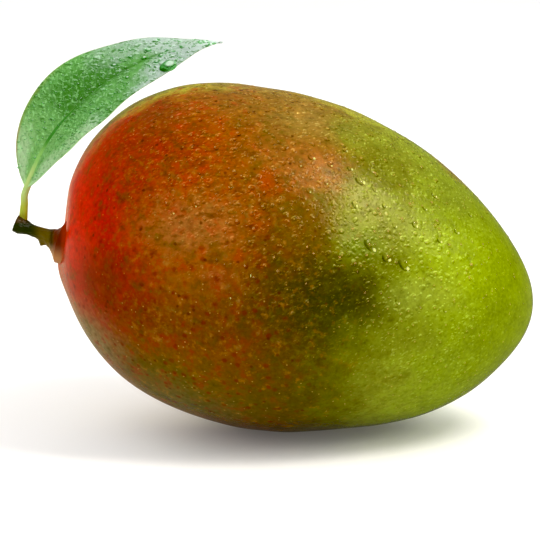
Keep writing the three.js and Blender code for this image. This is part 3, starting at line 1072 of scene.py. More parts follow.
@dataclass(frozen=True)
class BladeFinish:
    """Leaf blade: saturated green with a painted sheen of the bright surround at its ends and along its
    margins.
    """

    green: Colour = (0.1, 0.33, 0.065)
    deep: Colour = (0.034, 0.205, 0.011)  # painted shade beside the midrib, in the crease and on the dim sides of drops; also dark flecks and streaks
    young: Colour = (0.19, 0.44, 0.12)  # the base
    painted_sheen: Colour = (0.44, 0.54, 0.51)  # painted sheen on the middle
    # painted sheen at the base and at the tip
    base_painted_sheen: Colour = (0.4, 0.6, 0.32)
    tip_painted_sheen: Colour = (0.72, 0.82, 0.82)
    under: Colour = (0.2, 0.38, 0.12)  # the under face
    rib: Colour = (0.42, 0.68, 0.2)
    olive: Colour = (0.2, 0.3, 0.03)  # the upper margin near the base
    margin: Colour = (0.42, 0.6, 0.25)
    rusty: Colour = (0.42, 0.22, 0.12)  # a short stretch of that margin
    glow: Colour = (0.7, 0.95, 0.8)  # painted glints on the lit rims of the finest drops
    green_glow: Colour = (0.42, 0.85, 0.35)  # and near the base, and the light streaks, also painted glints
    beading: Beading = Beading(
        side=(0.2, -0.1, 0.97),
        chance=(0.2, 0.8),
        rim_in=(0.1, 0.28),
        rim_out=(0.36, 0.56),
        lit=(0.0, 0.3),
        dim_out=(0.3, 0.55),
        dim=(-0.1, 0.25),
    )
    bead_sizes: tuple[float, ...] = (0.7, 1.15)

    young_until: Span = (0.16, 0.4)  # shares of the midrib, as all down to wet_from
    shade_from: Span = (0.25, 0.38)
    shade_until: Span = (0.5, 0.66)
    painted_sheen_from: Span = (0.3, 0.5)
    tip_from: Span = (0.8, 0.97)
    streaks_until: Span = (0.4, 0.7)
    olive_until: Span = (0.32, 0.48)
    rib_until: Span = (0.25, 0.42)
    crease_from: Span = (0.3, 0.42)
    crease_until: Span = (0.68, 0.86)
    rust_from: Span = (0.07, 0.11)
    rust_until: Span = (0.15, 0.2)
    glow_from: Span = (0.35, 0.6)
    wet_from: Span = (0.1, 0.3)
    rib_reach: float = 0.035  # places across, as the rest
    crease_reach: float = 0.05
    olive_edge: Span = (-0.99, -0.88)
    rust_edge: Span = (-0.98, -0.9)
    margin_edge: Span = (0.975, 0.995)

    def painted_sheen_share(self, t: Signal, v: Signal) -> Signal:
        """How much painted sheen lies on the upper face.

        It is the most of five soft areas: the base on both sides of the midrib, a band below the
        midrib, both margins from the middle on, and the whole tip.

        Args:
            t: share of the midrib.
            v: place across, from -1 at the upper margin to 1 at the lower one.

        Returns:
            A share from 0 to 1.
        """
        base = t.fall(0.08, 0.3) * abs(v).rise(0.15, 0.65) * 0.93
        band = v.rise(0.4, 0.8) * t.rise(0.1, 0.2) * t.fall(0.38, 0.52) * 0.75
        lower = v.rise(0.5, 0.95) * t.rise(0.5, 0.66) * 0.9
        upper = v.fall(-0.5, 0.0) * t.rise(0.4, 0.6) * 0.6
        tip = (t - v.bell(0.35) * 0.06).rise(0.52, 0.74)
        return base.most(band).most(lower).most(upper).most(tip).most(0.12)

    def _ground(self, graph: Graph, s: BladePlace) -> Coat:
        """The green of the upper face, with its painted sheen and its fine streaks.

        Args:
            graph: the tree to add to.
            s: the place on the blade.

        Returns:
            The coat so far.
        """
        t, v = s.t, s.v
        # painted shade: darker green beside the midrib on the upper half
        shade = v.fall(0.0, 0.25) * v.rise(-0.85, -0.5)
        shade = shade * t.rise(*self.shade_from) * t.fall(*self.shade_until)
        coat = Coat(graph, self.green)
        coat.lay(self.young, t.fall(*self.young_until) * 0.7)
        coat.lay(self.deep, (shade + s.cloud * 0.5).rise(0.1, 0.9))
        # painted sheen: the bright surround mirrored in the waxy face, laid as colour
        painted_sheen = (self.painted_sheen_share(t, v) + s.cloud * 0.3 + s.fine * 0.35).rise(0.12, 0.95)
        sheen_colour = graph.mix(self.base_painted_sheen, self.painted_sheen, t.rise(*self.painted_sheen_from))
        sheen_colour = graph.mix(sheen_colour, self.tip_painted_sheen, t.rise(*self.tip_from))
        coat.lay(sheen_colour, painted_sheen * 0.87)
        coat.lay(self.painted_sheen, s.vein * 0.05)
        coat.lay(self.deep, (s.fine + s.cloud * 0.3).rise(0.1, 0.6) * 0.5)
        # light and dark streaks: painted glints and shade of fine drops
        early = t.fall(*self.streaks_until) * 0.8 + 0.2
        coat.lay(self.green_glow, s.streak.rise(0.05, 0.4) * early * 0.5)
        coat.lay(self.deep, s.streak.fall(-0.45, -0.05) * early * 0.6)
        return coat

    def _lay_lines(self, coat: Coat, s: BladePlace) -> None:
        """Lays the olive edge, the rib, the crease, the rust and the margin.

        Args:
            coat: the coat so far.
            s: the place on the blade.
        """
        t, v = s.t, s.v
        olive = v.fall(*self.olive_edge) * t.fall(*self.olive_until)
        coat.lay(self.olive, olive * 0.7)
        rib = (v * t.rise(-0.02, 0.25)).bell(self.rib_reach)
        coat.lay(self.rib, rib * t.fall(*self.rib_until))
        # painted shade along the crease of the midrib
        crease = (v + 0.01).bell(self.crease_reach) * t.rise(*self.crease_from)
        crease = crease * t.fall(*self.crease_until)
        coat.lay(self.deep, crease * 0.75)
        rust = (v + s.fine * 0.05).fall(*self.rust_edge) * t.rise(*self.rust_from)
        rust = rust * t.fall(*self.rust_until)
        coat.lay(self.rusty, rust * 0.6)
        coat.lay(self.margin, abs(v).rise(*self.margin_edge) * 0.7)

    def _lay_beads(self, coat: Coat, s: BladePlace) -> Signal:
        """Lays the finest drops on the upper face away from the base, with painted shade on their dim
        sides and painted glints on their lit rims.

        Args:
            coat: the coat so far.
            s: the place on the blade.

        Returns:
            The drops' height.
        """
        graph = coat.graph
        wavy = graph.vector("ADD", {0: s.at, 1: graph.wobble(s.at, 1.3, 0.9)})
        wide = graph.stretched(wavy, (0.5, 1.0, 1.0))
        glow = graph.mix(self.green_glow, self.glow, s.t.rise(*self.glow_from))
        above, wet = 1 - s.under, s.t.rise(*self.wet_from)
        height = 0
        for size in self.bead_sizes:
            dome, rim, dim = self.beading.parts(graph, wide, size, s.cloud * 0.3, above, wet)
            height = dome + height
            # painted shade on the dim side, painted glint on the lit rim
            coat.lay(self.deep, dim * 0.85)
            coat.lay(glow, rim * 0.4)
        return height

    def material(self, veins: "VeinPattern") -> bpy.types.Material:
        """The blade's material, with its side veins where the relief has them."""
        graph, material = Graph.of_material("leaf_blade")
        s = BladePlace.of(graph, veins)
        coat = self._ground(graph, s)
        self._lay_lines(coat, s)
        bead = self._lay_beads(coat, s)
        coat.lay(graph.mix(self.under, self.rib, s.vein * 0.4), s.under)
        height = s.fine * 0.03 + s.cloud * 0.08 - s.vein * 0.015 + bead * 0.07
        graph.surface(
            {
                "Base Color": coat.colour,
                "Roughness": 0.34 + s.fine * 0.06 + s.under * 0.2,
                "IOR": 1.35,
                "Normal": graph.relief(height),
            }
        )
        return material


@dataclass(frozen=True)
class StalkFinish:
    """Leaf stalk: lime at its foot, paler upwards, and a rib that turns green along the blade, then dark
    with painted shade of the crease.
    """

    foot: Colour = (0.3, 0.32, 0.01)
    lime: Colour = (0.42, 0.5, 0.04)
    pale: Colour = (0.5, 0.7, 0.25)
    rib: Colour = (0.26, 0.55, 0.13)
    crease: Colour = (0.03, 0.24, 0.015)  # painted shade of the crease, on the rib from the middle of the blade on
    lime_above: Span = (56.0, 58.2)  # Z, as the next three
    pale_above: Span = (58.5, 63.0)
    rib_above: Span = (66.5, 71.5)
    crease_above: Span = (72.0, 76.5)

    def material(self) -> bpy.types.Material:
        """The stalk's material."""
        graph, material = Graph.of_material("leaf_stalk")
        place = graph.place()
        _, _, z = graph.parts(place)
        streak = graph.noise(graph.stretched(place, (1.0, 1.0, 0.25)), 0.5, 3.0)
        level = z + streak * 0.8
        coat = Coat(graph, self.foot)
        coat.lay(self.lime, level.rise(*self.lime_above))
        coat.lay(self.pale, level.rise(*self.pale_above) * 0.8)
        coat.lay(self.rib, level.rise(*self.rib_above))
        # painted shade of the crease
        coat.lay(self.crease, level.rise(*self.crease_above))
        graph.surface(
            {
                "Base Color": coat.colour,
                "Roughness": 0.4 + streak * 0.08,
                "IOR": 1.35,
                "Subsurface Weight": 0.1,
                "Subsurface Scale": 0.001,
                "Normal": graph.relief(streak * 0.05),
            }
        )
        return material


@dataclass(frozen=True)
class WaterFinish:
    """Clear water, seen through, with painted shade on one side of a drop and a painted spot of the light
    that it gathers.
    """

    name: str
    body: Colour  # what a drop's middle lets through
    dim: Colour  # painted shade: what its dim edge lets through
    gathered: Colour  # painted light in the bright spot
    glow: float  # how much of it there is
    spot: float  # how far out the spot lies, as a share of the drop's radius
    spot_size: float  # its radius, as a share of the drop's
    shine: float  # share of the surface that mirrors and bends light
    dim_turn: float = 180.0  # degrees from the bright side to the middle of the dim edge
    ior: float = 1.25
    roughness: float = 0.12
    glint: Colour = (1.0, 0.95, 0.8)

    def material(self) -> bpy.types.Material:
        """The water's material."""
        graph, material = Graph.of_material(self.name)
        maps = graph.add("ShaderNodeUVMap", {"uv_map": UV_MAP})
        ahead, aside, _ = graph.parts(maps)
        turn = math.radians(self.dim_turn)
        out = (ahead**2 + aside**2) ** 0.5
        # painted shade on the dim edge
        dim = (ahead * math.cos(turn) + aside * math.sin(turn)).rise(0.1, 0.75) * out.rise(0.4, 0.8)
        seen = graph.mix(self.body, self.dim, dim)
        away = ((ahead - self.spot) ** 2 + aside**2) ** 0.5
        lens = away.fall(self.spot_size * 0.4, self.spot_size)
        inputs = {
            "Base Color": seen,
            "Roughness": self.roughness,
            "IOR": self.ior,
            "Specular Tint": self.glint,
            "Transmission Weight": 1.0,
        }
        water = graph.add("ShaderNodeBsdfPrincipled", {}, inputs)
        clear = graph.add("ShaderNodeBsdfTransparent", {}, {"Color": seen})
        body = graph.add("ShaderNodeMixShader", {}, {0: self.shine, 1: clear, 2: water})
        # the painted spot of gathered light
        lit = graph.add("ShaderNodeBsdfDiffuse", {}, {"Color": self.gathered})
        both = graph.add("ShaderNodeMixShader", {}, {0: lens * self.glow, 1: body, 2: lit})
        graph.node("ShaderNodeOutputMaterial", {}, {"Surface": both})
        return material


@dataclass(frozen=True)
class FloorFinish:
    """Matte white table top with the faintest unevenness."""

    white: Colour = (0.95, 0.95, 0.95)
    shade: Colour = (0.93, 0.93, 0.93)  # the uneven places
    mirrored_left: Colour = (0.48, 0.37, 0.22)  # what shiny surfaces see at the stem end
    mirrored_right: Colour = (0.12, 0.12, 0.08)  # and at the tip, like a dark card
    glow: float = 0.08  # light that comes through it from below

    def material(self) -> bpy.types.Material:
        """The floor's material."""
        graph, material = Graph.of_material("floor_white")
        place = graph.place()
        x, _, _ = graph.parts(place)
        cloud = graph.noise(place, 60.0, 2.0)
        colour = graph.mix(self.white, self.shade, cloud.rise(-0.5, 0.5))
        mirrored = graph.mix(self.mirrored_left, self.mirrored_right, x.rise(-30, 30))
        in_gloss = graph.add("ShaderNodeLightPath", output="Is Glossy Ray")
        colour = graph.mix(colour, mirrored, in_gloss)
        inputs = {"Base Color": colour, "Roughness": 0.75, "Emission Color": self.white}
        graph.surface(inputs | {"Emission Strength": self.glow})
        return material


def dress(piece: bpy.types.Object, material: bpy.types.Material) -> None:
    """Gives a piece its material and ties it to the body.

    Args:
        piece: the piece.
        material: its finish.
    """
    piece.data.materials.append(material)
    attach(piece, BODY)
    LOG.info("%s: %d vertices, %d faces", piece.name, len(piece.data.vertices), len(piece.data.polygons))


# ---- fruit ----


@dataclass(frozen=True)
class LocalForm:
    """A soft rise of the skin round one direction; all but the rise are in radians."""

    rise: float
    above: float
    beside: float
    reach: float

    def height(self, towards: Array, back: Array, side: Array) -> Array:
        """rise * exp(-(angle / reach)^2), with the angle from the form's own direction.

        Args:
            towards: share of each direction towards the form's end of the fruit.
            back: its share towards the back.
            side: its share towards the side.

        Returns:
            The height in millimetres.
        """
        in_plane = towards * math.cos(self.above) + back * math.sin(self.above)
        nearness = in_plane * math.cos(self.beside) + side * math.sin(self.beside)
        return self.rise * bell(np.arccos(np.clip(nearness, -1, 1)), self.reach)


@dataclass(frozen=True)
class FruitForm:
    """The fruit's skin: its distance from the centre, as waves of the angle from its axis."""

    centre: Place = (-0.4, 0.0, 40.8)
    stem_end_lift: float = 0.25  # radians from level up to the axis
    mean_radius: float = 52.2
    stretch: float = 8.6  # a wave with two crests round the fruit
    taper: float = -1.9  # with three
    full_ends: float = 0.75  # with four
    tip_draw: float = -0.65  # with five
    back_rise: float = 3.7  # a wave with one crest, on the back
    back_shoulders: float = 0.9  # with three
    back_lean: float = 0.2  # with four
    cheek_swell: float = 2.0
    cheek_skew: float = 1.5  # how much fuller one cheek is at the stem end
    beak: LocalForm = LocalForm(3.5, 0.117, 0.0, 0.23)
    stem_basin: LocalForm = LocalForm(-2.6, -0.03, -0.05, 0.12)
    chin: LocalForm = LocalForm(1.3, -0.2, 0.0, 0.117)
    ripple: float = 0.12  # height of the faint unevenness

    def radius(self, shares: Array) -> Array:
        """Distance from the centre to the skin.

        The radius is the mean, plus cosine waves of the angle a from the axis for the length,
        plus sine waves on the upper side for the back, plus the cheeks and the three local forms,
        plus a faint unevenness.

        Args:
            shares: unit directions, as shares towards the stem end, the back and the side.

        Returns:
            The distances in millimetres.
        """
        stem, back, side = np.moveaxis(shares, -1, 0)
        a = np.arccos(np.clip(stem, -1, 1))
        ends = self.stretch * np.cos(2 * a) + self.taper * np.cos(3 * a)
        ends += self.full_ends * np.cos(4 * a) + self.tip_draw * np.cos(5 * a)
        rise = self.back_rise + self.back_shoulders * (4 * stem**2 - 1)
        rise += self.back_lean * (8 * stem**3 - 4 * stem)
        cheeks = self.cheek_swell * side**2 + self.cheek_skew * stem * side
        forms = self.beak.height(-stem, back, side)
        forms = forms + self.stem_basin.height(stem, back, side)
        forms = forms + self.chin.height(stem, back, side)
        uneven = np.sin(9 * stem + 4 * side + 1) * np.sin(7 * back - 5 * side + 2)
        uneven += 0.6 * np.sin(17 * stem - 11 * back) * np.sin(15 * side + 6 * back + 3)
        return self.mean_radius + ends + back * rise + cheeks + forms + self.ripple * uneven

    def points(self, shares: Array) -> Array:
        """Points of the skin in the given directions, flattened where the fruit rests."""
        stem, back, side = np.moveaxis(shares, -1, 0)
        lift = (math.cos(self.stem_end_lift), math.sin(self.stem_end_lift))
        directions = np.stack(
            [-stem * lift[0] + back * lift[1], side, stem * lift[1] + back * lift[0]], -1
        )
        found = directions * self.radius(shares)[..., None] + np.array(self.centre)
        found[..., 2] = np.maximum(found[..., 2], 0.0)
        return found

    def on_front(self, across: Array, level: Array, rounds: int = 12) -> Array:
        """Unit directions whose points of the skin have a given X and Z, on the front.

        Each round sets Y so that the place is as far from the centre as the skin is in its
        direction.

        Args:
            across: X of the places.
            level: Z of the places.
            rounds: how often Y is set.

        Returns:
            The directions, as shares towards the stem end, the back and the side.
        """
        x, z = across - self.centre[0], level - self.centre[2]
        lift = (math.cos(self.stem_end_lift), math.sin(self.stem_end_lift))
        depth = -self.mean_radius + 0 * x
        for _ in range(rounds):
            found = unit(np.stack([x, depth, z], -1))
            stem = found[:, 2] * lift[1] - found[:, 0] * lift[0]
            back = found[:, 0] * lift[1] + found[:, 2] * lift[0]
            shares = np.stack([stem, back, found[:, 1]], -1)
            depth = -np.sqrt(np.maximum(self.radius(shares) ** 2 - x**2 - z**2, 1.0))
        return shares

    def normals(self, shares: Array) -> Array:
        """Directions in which the skin faces: the cross product of two short steps along it."""
        step = 1e-3
        helper = np.where(np.abs(shares[..., :1]) > 0.9, [[0.0, 1.0, 0.0]], [[1.0, 0.0, 0.0]])
        first = unit(np.cross(shares, helper))
        second = np.cross(shares, first)
        along = self.points(unit(shares + first * step)) - self.points(unit(shares - first * step))
        across = self.points(unit(shares + second * step)) - self.points(unit(shares - second * step))
        facing = unit(np.cross(along, across))
        outward = np.sign(((self.points(shares) - np.array(self.centre)) * facing).sum(-1, keepdims=True))
        return facing * outward


@dataclass(frozen=True)
class Fruit:
    """The fruit, whole, with its skin as one closed surface."""

    form: FruitForm = FruitForm()
    rings: int = 300
    sides: int = 300
    end_crowding: float = 0.1  # how far the rings gather at both ends

    def skin(self) -> bpy.types.Object:
        """Builds the skin: rings of the angle from the axis, crowded a little at both ends."""
        t = (np.arange(self.rings) + 0.5) / self.rings
        a = math.pi * (t - self.end_crowding * np.sin(2 * math.pi * t))
        round_it = np.arange(self.sides) * 2 * math.pi / self.sides
        stem = np.cos(a)[:, None] + 0 * round_it
        back = np.sin(a)[:, None] * np.sin(round_it)
        side = np.sin(a)[:, None] * np.cos(round_it)
        grid = self.form.points(np.stack([stem, back, side], -1))
        ends = self.form.points(np.array([[1.0, 0.0, 0.0], [-1.0, 0.0, 0.0]]))
        around = np.linspace(0, 1, self.sides + 1)
        piece = tube(grid, ends[0], ends[1], t, around).build("fruit_skin")
        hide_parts("fruit")
        dress(piece, SkinFinish().material())
        return piece


# ---- stem ----


@dataclass(frozen=True)
class Stem:
    """The short woody stem: flared on the skin, waisted, with a bud scar and a thicker cut end.

    Places along the stem are millimetres from the skin, and turns round it are radians from below.
    """

    route: tuple[Place, ...] = (
        (-54.3, -2.8, 49.4),
        (-57.5, -2.6, 49.9),
        (-61.8, -1.4, 51.4),
        (-65.8, -0.3, 52.8),
        (-69.6, 0.1, 54.3),
    )
    waist: float = 1.5  # least radius
    neck: float = 1.0
    neck_reach: float = 4.0
    flare: float = 3.2
    flare_reach: float = 1.3
    end_swell: float = 0.75
    end_from: float = 8.5
    end_full: float = 12.0
    scar_rise: float = 1.2
    scar_along: float = 4.8
    scar_reach: float = 0.9
    scar_turn: float = 0.6
    ring_along: float = 2.2
    ring_depth: float = 0.16
    ring_reach: float = 0.3
    bark_depth: float = 0.09
    bark_from: Span = (1.0, 3.0)
    rows: int = 200
    columns: int = 120
    cap_rows: int = 10
    cap_bulge: float = 0.12  # how far the cut end bulges at its rim
    cap_hollow: float = 0.35  # how deep it is at the pith
    cap_from: Span = (0.55, 1.0)  # shares of the way inwards over which it sinks

    def radius(self, distance: Array, turn: Array) -> Array:
        """Radius of the stem.

        The waist, plus a bell for the neck, a steep fall from the flare, a smooth rise for the
        cut end and a bell for the bud scar, less a groove round the collar, plus bark ridges.

        Args:
            distance: distance from the skin, in millimetres.
            turn: angle round the stem from below.

        Returns:
            The radii in millimetres.
        """
        neck = self.neck * bell(distance, self.neck_reach)
        flare = self.flare * np.exp(-np.maximum(distance, 0) / self.flare_reach)
        end = self.end_swell * smoothstep(distance, self.end_from, self.end_full)
        scar = bell(distance - self.scar_along, self.scar_reach) * bell(turn, self.scar_turn)
        ring = self.ring_depth * bell(distance - self.ring_along, self.ring_reach)
        ridges = np.sin(7 * turn + 1.3 * np.sin(0.8 * distance)) * np.sin(1.7 * distance + 2 * turn)
        fine = np.sin(19 * turn + 2 * np.sin(1.1 * distance)) * np.sin(3.1 * distance - 3 * turn)
        bark = self.bark_depth * (ridges + 0.5 * fine) * smoothstep(distance, *self.bark_from)
        return self.waist + neck + flare + end + self.scar_rise * scar - ring + bark

    def bark(self) -> bpy.types.Object:
        """Builds the stem with its cut end, rounded at the rim and hollowed towards the pith."""
        route = Route(self.route)
        inside = float(np.linalg.norm(np.subtract(self.route[1], self.route[0])))
        shares = np.linspace(0, 1, self.rows)
        turns = np.linspace(-math.pi, math.pi, self.columns, endpoint=False)
        radii = self.radius(shares[:, None] * route.length - inside, turns[None, :])
        wall = round_bar(route, shares, turns, radii)
        tangent = route.tangent(np.array([1.0]))[0]
        centre = route.at(np.array([1.0]))[0]
        inwards = np.linspace(0, 1, self.cap_rows + 2)[1:-1]
        bulge = self.cap_bulge * np.sin(inwards * math.pi)
        bulge = bulge - self.cap_hollow * smoothstep(inwards, *self.cap_from)
        cap = centre + (wall[-1] - centre)[None] * (1 - inwards)[:, None, None]
        cap = cap + tangent * bulge[:, None, None]
        grid = np.concatenate([wall, cap])
        along = np.concatenate([shares, np.ones(self.cap_rows)])
        around = np.linspace(0, 1, self.columns + 1)
        end = centre - tangent * self.cap_hollow
        piece = tube(grid, route.at(np.array([0.0]))[0], end, along, around).build("stem_bark")
        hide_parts("stem")
        dress(piece, BarkFinish().material())
        return piece


# ---- leaf ----


@dataclass(frozen=True)
class VeinPattern:
    """Side veins of the blade, which leave the midrib in turn on its two sides."""

    pairs: float = 21.0
    lean: float = 0.085  # how far a vein runs on towards the tip, as a share of the midrib
    offset: float = 0.5  # how far one side's veins are moved, as a share of their spacing
    width: float = 0.09  # as a share of their spacing
    relief_width: float = 1.6  # how many times wider the relief is

    def relief(self, t: Array, v: Array) -> Array:
        """Closeness to a side vein.

        The phase is pairs * (t - lean |v|), moved by half a vein on one side of the midrib, and
        the closeness is a bell of the distance to the nearest whole phase.

        Args:
            t: share of the midrib.
            v: place across the blade, from -1 to 1.

        Returns:
            A number from 0 between veins to 1 on one.
        """
        phase = self.pairs * (t - self.lean * np.abs(v)) + self.offset * (v > 0)
        nearest = np.abs(phase - np.round(phase))
        return bell(nearest, self.width * self.relief_width) * smoothstep(np.abs(v), 0.02, 0.15)

    def shading(self, t: Signal, v: Signal) -> Signal:
        """The same closeness as relief gives, for a material."""
        phase = (t - abs(v) * self.lean) * self.pairs + v.rise(-0.001, 0.001) * self.offset
        nearest = abs(phase - phase.rounded())
        return nearest.bell(self.width) * abs(v).fall(0.9, 1.0)


@dataclass(frozen=True)
class Leaf:
    """The leaf: a stalk that runs on as the midrib, and a folded blade on both sides of it."""

    midrib: tuple[Place, ...] = (
        (-66.7, 1.0, 63.6),
        (-61.4, 2.6, 74.7),
        (-55.2, 3.6, 82.6),
        (-46.8, 3.6, 90.4),
        (-34.9, 2.4, 97.3),
        (-23.5, 0.2, 101.4),
        (-15.1, -3.0, 102.7),
    )
    half_width: float = 11.5
    base_power: float = 0.77  # the less it is, the blunter the base
    tip_power: float = 1.28  # and the tip
    edge_min: float = 0.35  # least half width
    roll: Span = (0.64, 1.11)  # radians from facing the front, at the base and at the tip
    fold: Span = (0.34, -0.33)  # radians by which each half folds up there
    turn_from: float = 0.3
    fold_until: float = 0.95
    margin_wave: float = 0.45  # height of the waves
    margin_waves: float = 3.5  # how many there are
    thickness: float = 0.45
    thin_tip: float = 0.5  # share of the thickness that is left at the tip
    groove: float = 0.22  # depth along the midrib
    groove_reach: float = 0.55
    puff: float = 0.05  # depth on a side vein
    veins: VeinPattern = VeinPattern()
    rows: int = 260
    columns: int = 90
    stalk: tuple[Place, ...] = ((-67.6, 0.3, 54.9), (-67.2, 0.6, 59.3))
    stalk_radius: float = 0.9
    rib_tip_radius: float = 0.35
    rib_end: float = 0.93  # share of the midrib where it ends
    rib_depth: Span = (0.3, 0.7)  # how far it lies under the blade, at the base and further on
    rib_spans: int = 5
    taper_from: float = 0.1  # shares of the whole bar, as the next two
    round_end: float = 0.02
    foot_reach: float = 0.06
    foot_flare: float = 0.25
    ridges: int = 5
    ridge_height: float = 0.03  # as a share of the radius
    stalk_rows: int = 220
    stalk_columns: int = 40

    def half(self, t: Array) -> Array:
        """Half width of the blade: t^p (1 - t)^q, scaled to its widest, and never quite 0."""
        widest = self.base_power / (self.base_power + self.tip_power)
        at_widest = widest**self.base_power * (1 - widest) ** self.tip_power
        shape = t**self.base_power * (1 - t) ** self.tip_power
        return np.maximum(self.half_width * shape / at_widest, self.edge_min)

    def blade_point(self, t: Array, v: Array, lift: Array | float) -> Array:
        """Points of the blade.

        The blade turns about its midrib from facing the front towards facing up, and each half
        folds up from flat at the base and down at the tip. A point is the midrib's point, plus
        the outward direction times v times the half width, plus the facing direction times the
        lift and the margin's wave.

        Args:
            t: share of the midrib.
            v: place across, from -1 at the upper margin to 1 at the lower one.
            lift: height above the middle of its thickness.

        Returns:
            The points.
        """
        curve = Route(self.midrib)
        front, below = facing_frame(curve.tangent(t))
        across = -below
        fold = between(*self.fold, smoothstep(t, self.turn_from, self.fold_until))
        turn = between(*self.roll, smoothstep(t, self.turn_from, 1.0)) + np.sign(v) * fold
        cos, sin = np.cos(turn)[..., None], np.sin(turn)[..., None]
        facing = front * cos - across * sin
        outwards = across * cos + front * sin
        ripple = np.sin(2 * math.pi * self.margin_waves * t + v) * np.sin(math.pi * t)
        height = lift + self.margin_wave * v**2 * ripple
        return curve.at(t) + outwards * (v * self.half(t))[..., None] + facing * height[..., None]

    def blade_facing(self, t: Array, v: Array) -> Array:
        """Directions in which the upper face looks, from one short lift."""
        return unit(self.blade_point(t, v, 1.0 + 0 * t) - self.blade_point(t, v, 0 * t))

    def relief(self, t: Array, v: Array) -> Array:
        """How far the blade sinks: a groove along the midrib, and a shallow one on each side vein."""
        on_rib = bell(v * self.half(t), self.groove_reach) * smoothstep(t, 0.25, 0.45)
        vein = self.veins.relief(t, v) * smoothstep(1 - np.abs(v), 0.0, 0.2)
        return on_rib * self.groove + vein * self.puff

    def blade(self) -> bpy.types.Object:
        """Builds the blade: the upper face from margin to margin, then the under face back."""
        t = np.linspace(0, 1, self.rows)[:, None]
        q = np.arange(2 * self.columns)[None, :] / self.columns
        v = 1 - 2 * np.abs(q - 1) + 0 * t
        t = t + 0 * q
        side = np.where(q < 1, 1.0, -1.0) * (np.abs(v) < 1)
        rounded = np.sqrt(np.clip(1 - np.abs(v) ** 12, 0, 1))
        taper = between(1.0, self.thin_tip, smoothstep(t, 0.85, 1.0))
        lift = side * rounded * taper * self.thickness / 2 - self.relief(t, v)
        grid = self.blade_point(t, v, lift)
        around = np.arange(2 * self.columns + 1) / self.columns
        shell = tube(grid, grid[0].mean(0), grid[-1].mean(0), t[:, 0], around)
        piece = shell.build("leaf_blade")
        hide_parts("leaf")
        dress(piece, BladeFinish().material(self.veins))
        return piece

    def stalk_and_rib(self) -> bpy.types.Object:
        """Builds the stalk and the rib as one tapering bar, flared at its foot and rounded at its far
        end.
        """
        t = np.arange(self.rib_spans + 1) * self.rib_end / self.rib_spans
        depth = between(*self.rib_depth, smoothstep(t, 0.2, 0.5))
        rib = self.blade_point(t, 0 * t, -depth)
        route = Route([*self.stalk, *rib])
        shares = np.linspace(0, 1, self.stalk_rows)
        turns = np.linspace(-math.pi, math.pi, self.stalk_columns, endpoint=False)
        taper = smoothstep(shares, self.taper_from, 1.0)
        radii = between(self.stalk_radius, self.rib_tip_radius, taper)
        radii = radii + self.foot_flare * bell(shares, self.foot_reach)
        past = ((shares - (1 - self.round_end)) / self.round_end).clip(0, 1)
        radii = radii * np.sqrt(np.clip(1 - past**2, 0.02, 1))
        waves = self.ridge_height * np.sin(self.ridges * turns)
        ridges = 1 + waves[None, :] * smoothstep(shares, 0.0, 0.1)[:, None]
        grid = round_bar(route, shares, turns, radii[:, None] * ridges)
        around = np.linspace(0, 1, self.stalk_columns + 1)
        shell = tube(grid, grid[0].mean(0), grid[-1].mean(0), shares, around)
        piece = shell.build("leaf_stalk")
        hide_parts("leaf")
        dress(piece, StalkFinish().material())
        return piece


# ---- water ----


